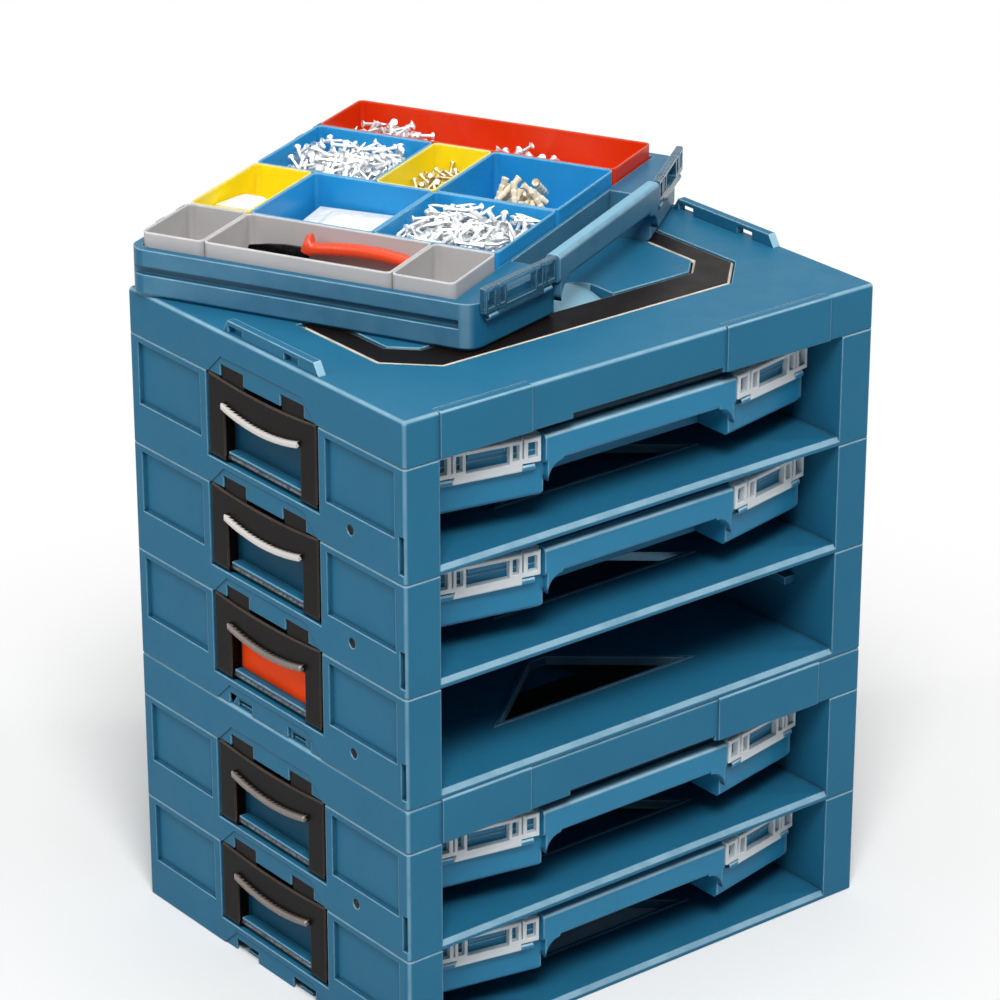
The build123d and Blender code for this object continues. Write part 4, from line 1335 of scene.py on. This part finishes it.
@dataclass
class Pliers:
    """Pliers standing on edge in the long grey bin, with vinyl sleeves on both handles."""

    cell: BinCell
    middle_y: float = 12.0
    foot_x: float = -121.0
    half_height: float = 19.1
    lean: float = math.radians(14)
    clearance: float = 1.6
    ring_sides: int = 14
    joint_x: float = 36.0
    joint: Triple = (16.0, 8.0, 15.0)
    jaws: tuple[tuple[float, Triple], ...] = ((14.0, (1.0, 0.9, 0.8)), (16.0, (1.0, 0.7, 0.5)))
    tang: tuple[float, Triple] = (-4.0, (1.0, 0.8, 0.8))
    rivet_radius: float = 5.0
    rivet_length: float = 9.4
    rivet_sides: int = 20
    # Rings of a sleeve: place along the tool, height, half height and half thickness
    sleeve: tuple[tuple[float, float, float, float], ...] = (
        (30.0, 4.5, 3.2, 3.6),
        (27.5, 6.0, 4.0, 4.4),
        (26.0, 9.5, 8.0, 5.6),
        (22.5, 10.5, 8.6, 5.8),
        (20.5, 8.0, 5.0, 5.0),
        (14.0, 8.6, 4.4, 4.8),
        (2.0, 10.2, 4.8, 5.2),
        (-16.0, 11.6, 5.0, 5.6),
        (-36.0, 11.6, 5.0, 5.6),
        (-54.0, 10.0, 4.9, 5.3),
        (-67.0, 7.8, 4.5, 4.9),
        (-72.0, 6.7, 3.4, 3.8),
        (-73.5, 6.3, 1.4, 1.8),
    )

    def handle(self, name: str) -> Object:
        """Models one sleeve by extruding a ring along the bowed handle."""
        first = self.sleeve[0]
        piece = begin(
            name,
            bpy.ops.mesh.primitive_circle_add,
            vertices=self.ring_sides,
            radius=1.0 * MM,
            fill_type="NGON",
            rotation=(0, math.pi / 2, 0),
        )
        bpy.ops.object.transform_apply(location=True, rotation=True, scale=True)
        stretch((1.0, first[3], first[2]))
        bpy.ops.transform.translate(value=(first[0] * MM, 0, first[1] * MM))
        for last, ring in zip(self.sleeve, self.sleeve[1:]):
            move = Vector((ring[0] - last[0], 0, ring[1] - last[1])) * MM
            centre = Vector((ring[0], 0, ring[1])) * MM
            extrude(move, (1.0, ring[3] / last[3], ring[2] / last[2]), centre)
        return settle(piece, angle=50)

    def head(self) -> Object:
        """Models the jaws and the joint."""
        piece = begin("pliers_head", bpy.ops.mesh.primitive_cube_add, size=1.0)
        stretch(tuple(length * MM for length in self.joint))
        bpy.ops.transform.translate(value=(self.joint_x * MM, 0, 0))
        pick(piece, lambda face: face.normal.x > FACING)
        for reach, scale in self.jaws:
            extrude(Vector((reach * MM, 0, 0)), scale)
        pick(piece, lambda face: face.normal.x < -FACING)
        extrude(Vector((self.tang[0] * MM, 0, 0)), self.tang[1])
        settle(piece, angle=40, bevel_mm=1.2)
        rivet = begin(
            "pliers_rivet",
            bpy.ops.mesh.primitive_cylinder_add,
            vertices=self.rivet_sides,
            radius=self.rivet_radius * MM,
            depth=self.rivet_length * MM,
            rotation=(math.pi / 2, 0, 0),
            location=(self.joint_x * MM, 0, 0),
        )
        bpy.ops.object.transform_apply(location=True, rotation=True, scale=True)
        settle(rivet, angle=40, bevel_mm=0.6)
        return join("pliers_head", [piece, rivet])

    def build(self) -> list[Object]:
        """Places the pliers and returns the pieces."""
        upper = self.handle("pliers_sleeves")
        lower = copy_at(upper, Matrix.Scale(-1, 4, (0, 0, 1)))
        sleeves = settle(join("pliers_sleeves", [upper, lower]), angle=50)
        head = self.head()
        upright = Matrix.Rotation(math.pi / 2, 4, "Z")
        lean = Matrix.Rotation(self.lean, 4, "Y")
        lift = BIN_FLOOR + self.half_height * math.cos(self.lean) + self.clearance
        over = self.half_height * math.sin(self.lean)
        seat = Matrix.Translation(Vector((self.foot_x + over, self.middle_y, lift)) * MM)
        for piece, finish in ((sleeves, TOOL_RED), (head, TOOL_STEEL)):
            piece.data.transform(open_case_matrix() @ seat @ lean @ upright)
            cover(piece, finish)
            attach(piece, self.cell.node)
        return [sleeves, head]


@dataclass
class Contents:
    """What lies in the bins of the open case."""

    bins: BinSet
    first_seed: int = 11

    def build(self) -> list[str]:
        """Fills the bins and returns the names of the pieces."""
        maker, cell = PartMaker(), self.bins.cell
        screw = maker.screw("model_long_screw", length=21.0, shank=1.35, head=3.0)
        short = maker.screw("model_short_screw", length=12.0, shank=1.2, head=2.5)
        plug = maker.plug("model_plug", length=24.0, radius=2.8)
        # Name, bin, part, finish, number of parts, and middle and spread of the heap in shares of the bin
        piles = (
            ("screws_front", "bin_blue_front", screw, ZINC, 620, (0.56, 0.5), (0.24, 0.24)),
            ("screws_rear", "bin_blue_rear", screw, ZINC, 400, (0.58, 0.48), (0.19, 0.22)),
            ("brass_screws", "bin_yellow_middle", short, BRASS, 330, (0.5, 0.48), (0.24, 0.24)),
            ("wall_plugs", "bin_blue_corner", plug, PLUG_TAN, 34, (0.58, 0.56), (0.085, 0.085)),
            ("screws_red_rear", "bin_red_long", screw, ZINC, 170, (0.5, 0.82), (0.16, 0.06)),
            ("screws_red_front", "bin_red_long", screw, ZINC, 150, (0.45, 0.34), (0.16, 0.06)),
        )
        done = []
        for seed, (name, node, *heap) in enumerate(piles, self.first_seed):
            done.append(Pile(name, cell(node), *heap, seed=seed).build().name)
        for part in (screw, short, plug):
            bpy.data.objects.remove(part.source)
        large, small = (60.0, 76.0, 4.6), (36.0, 26.0, 5.0)
        bags = [
            BagStack("card_bags", cell("bin_blue_middle"), large, (0.66, 0.52), count=5, turn=0.08),
            BagStack("small_bags", cell("bin_yellow_rear"), small, (0.42, 0.52), count=7, turn=1.3, lean=0.1),
        ]
        done += [stack.build().name for stack in bags]
        done += [piece.name for piece in Pliers(cell("bin_grey_long")).build()]
        return done


def write_sizes() -> None:
    """Turns the solids' box and the dressed model's box into JSON text, which it does not keep."""
    boxes = {"cad": CAD_BOX, "visual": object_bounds()}
    json.dumps({name: [list(corner) for corner in box] for name, box in boxes.items()})


def main() -> None:
    """Builds the studio and the object, and reports each piece."""
    logging.basicConfig(level=logging.INFO, format="%(message)s")
    Studio().build()
    bins = BinSet()
    cases = (ClosedCases(), OpenCase(), bins, Contents(bins))
    for assembly in (RackStack(), SideClips(), CarryHandles(), *cases):
        for name in assembly.build():
            LOG.info("%s: %s", type(assembly).__name__, name)
    write_sizes()


if __name__ == "__main__":
    main()
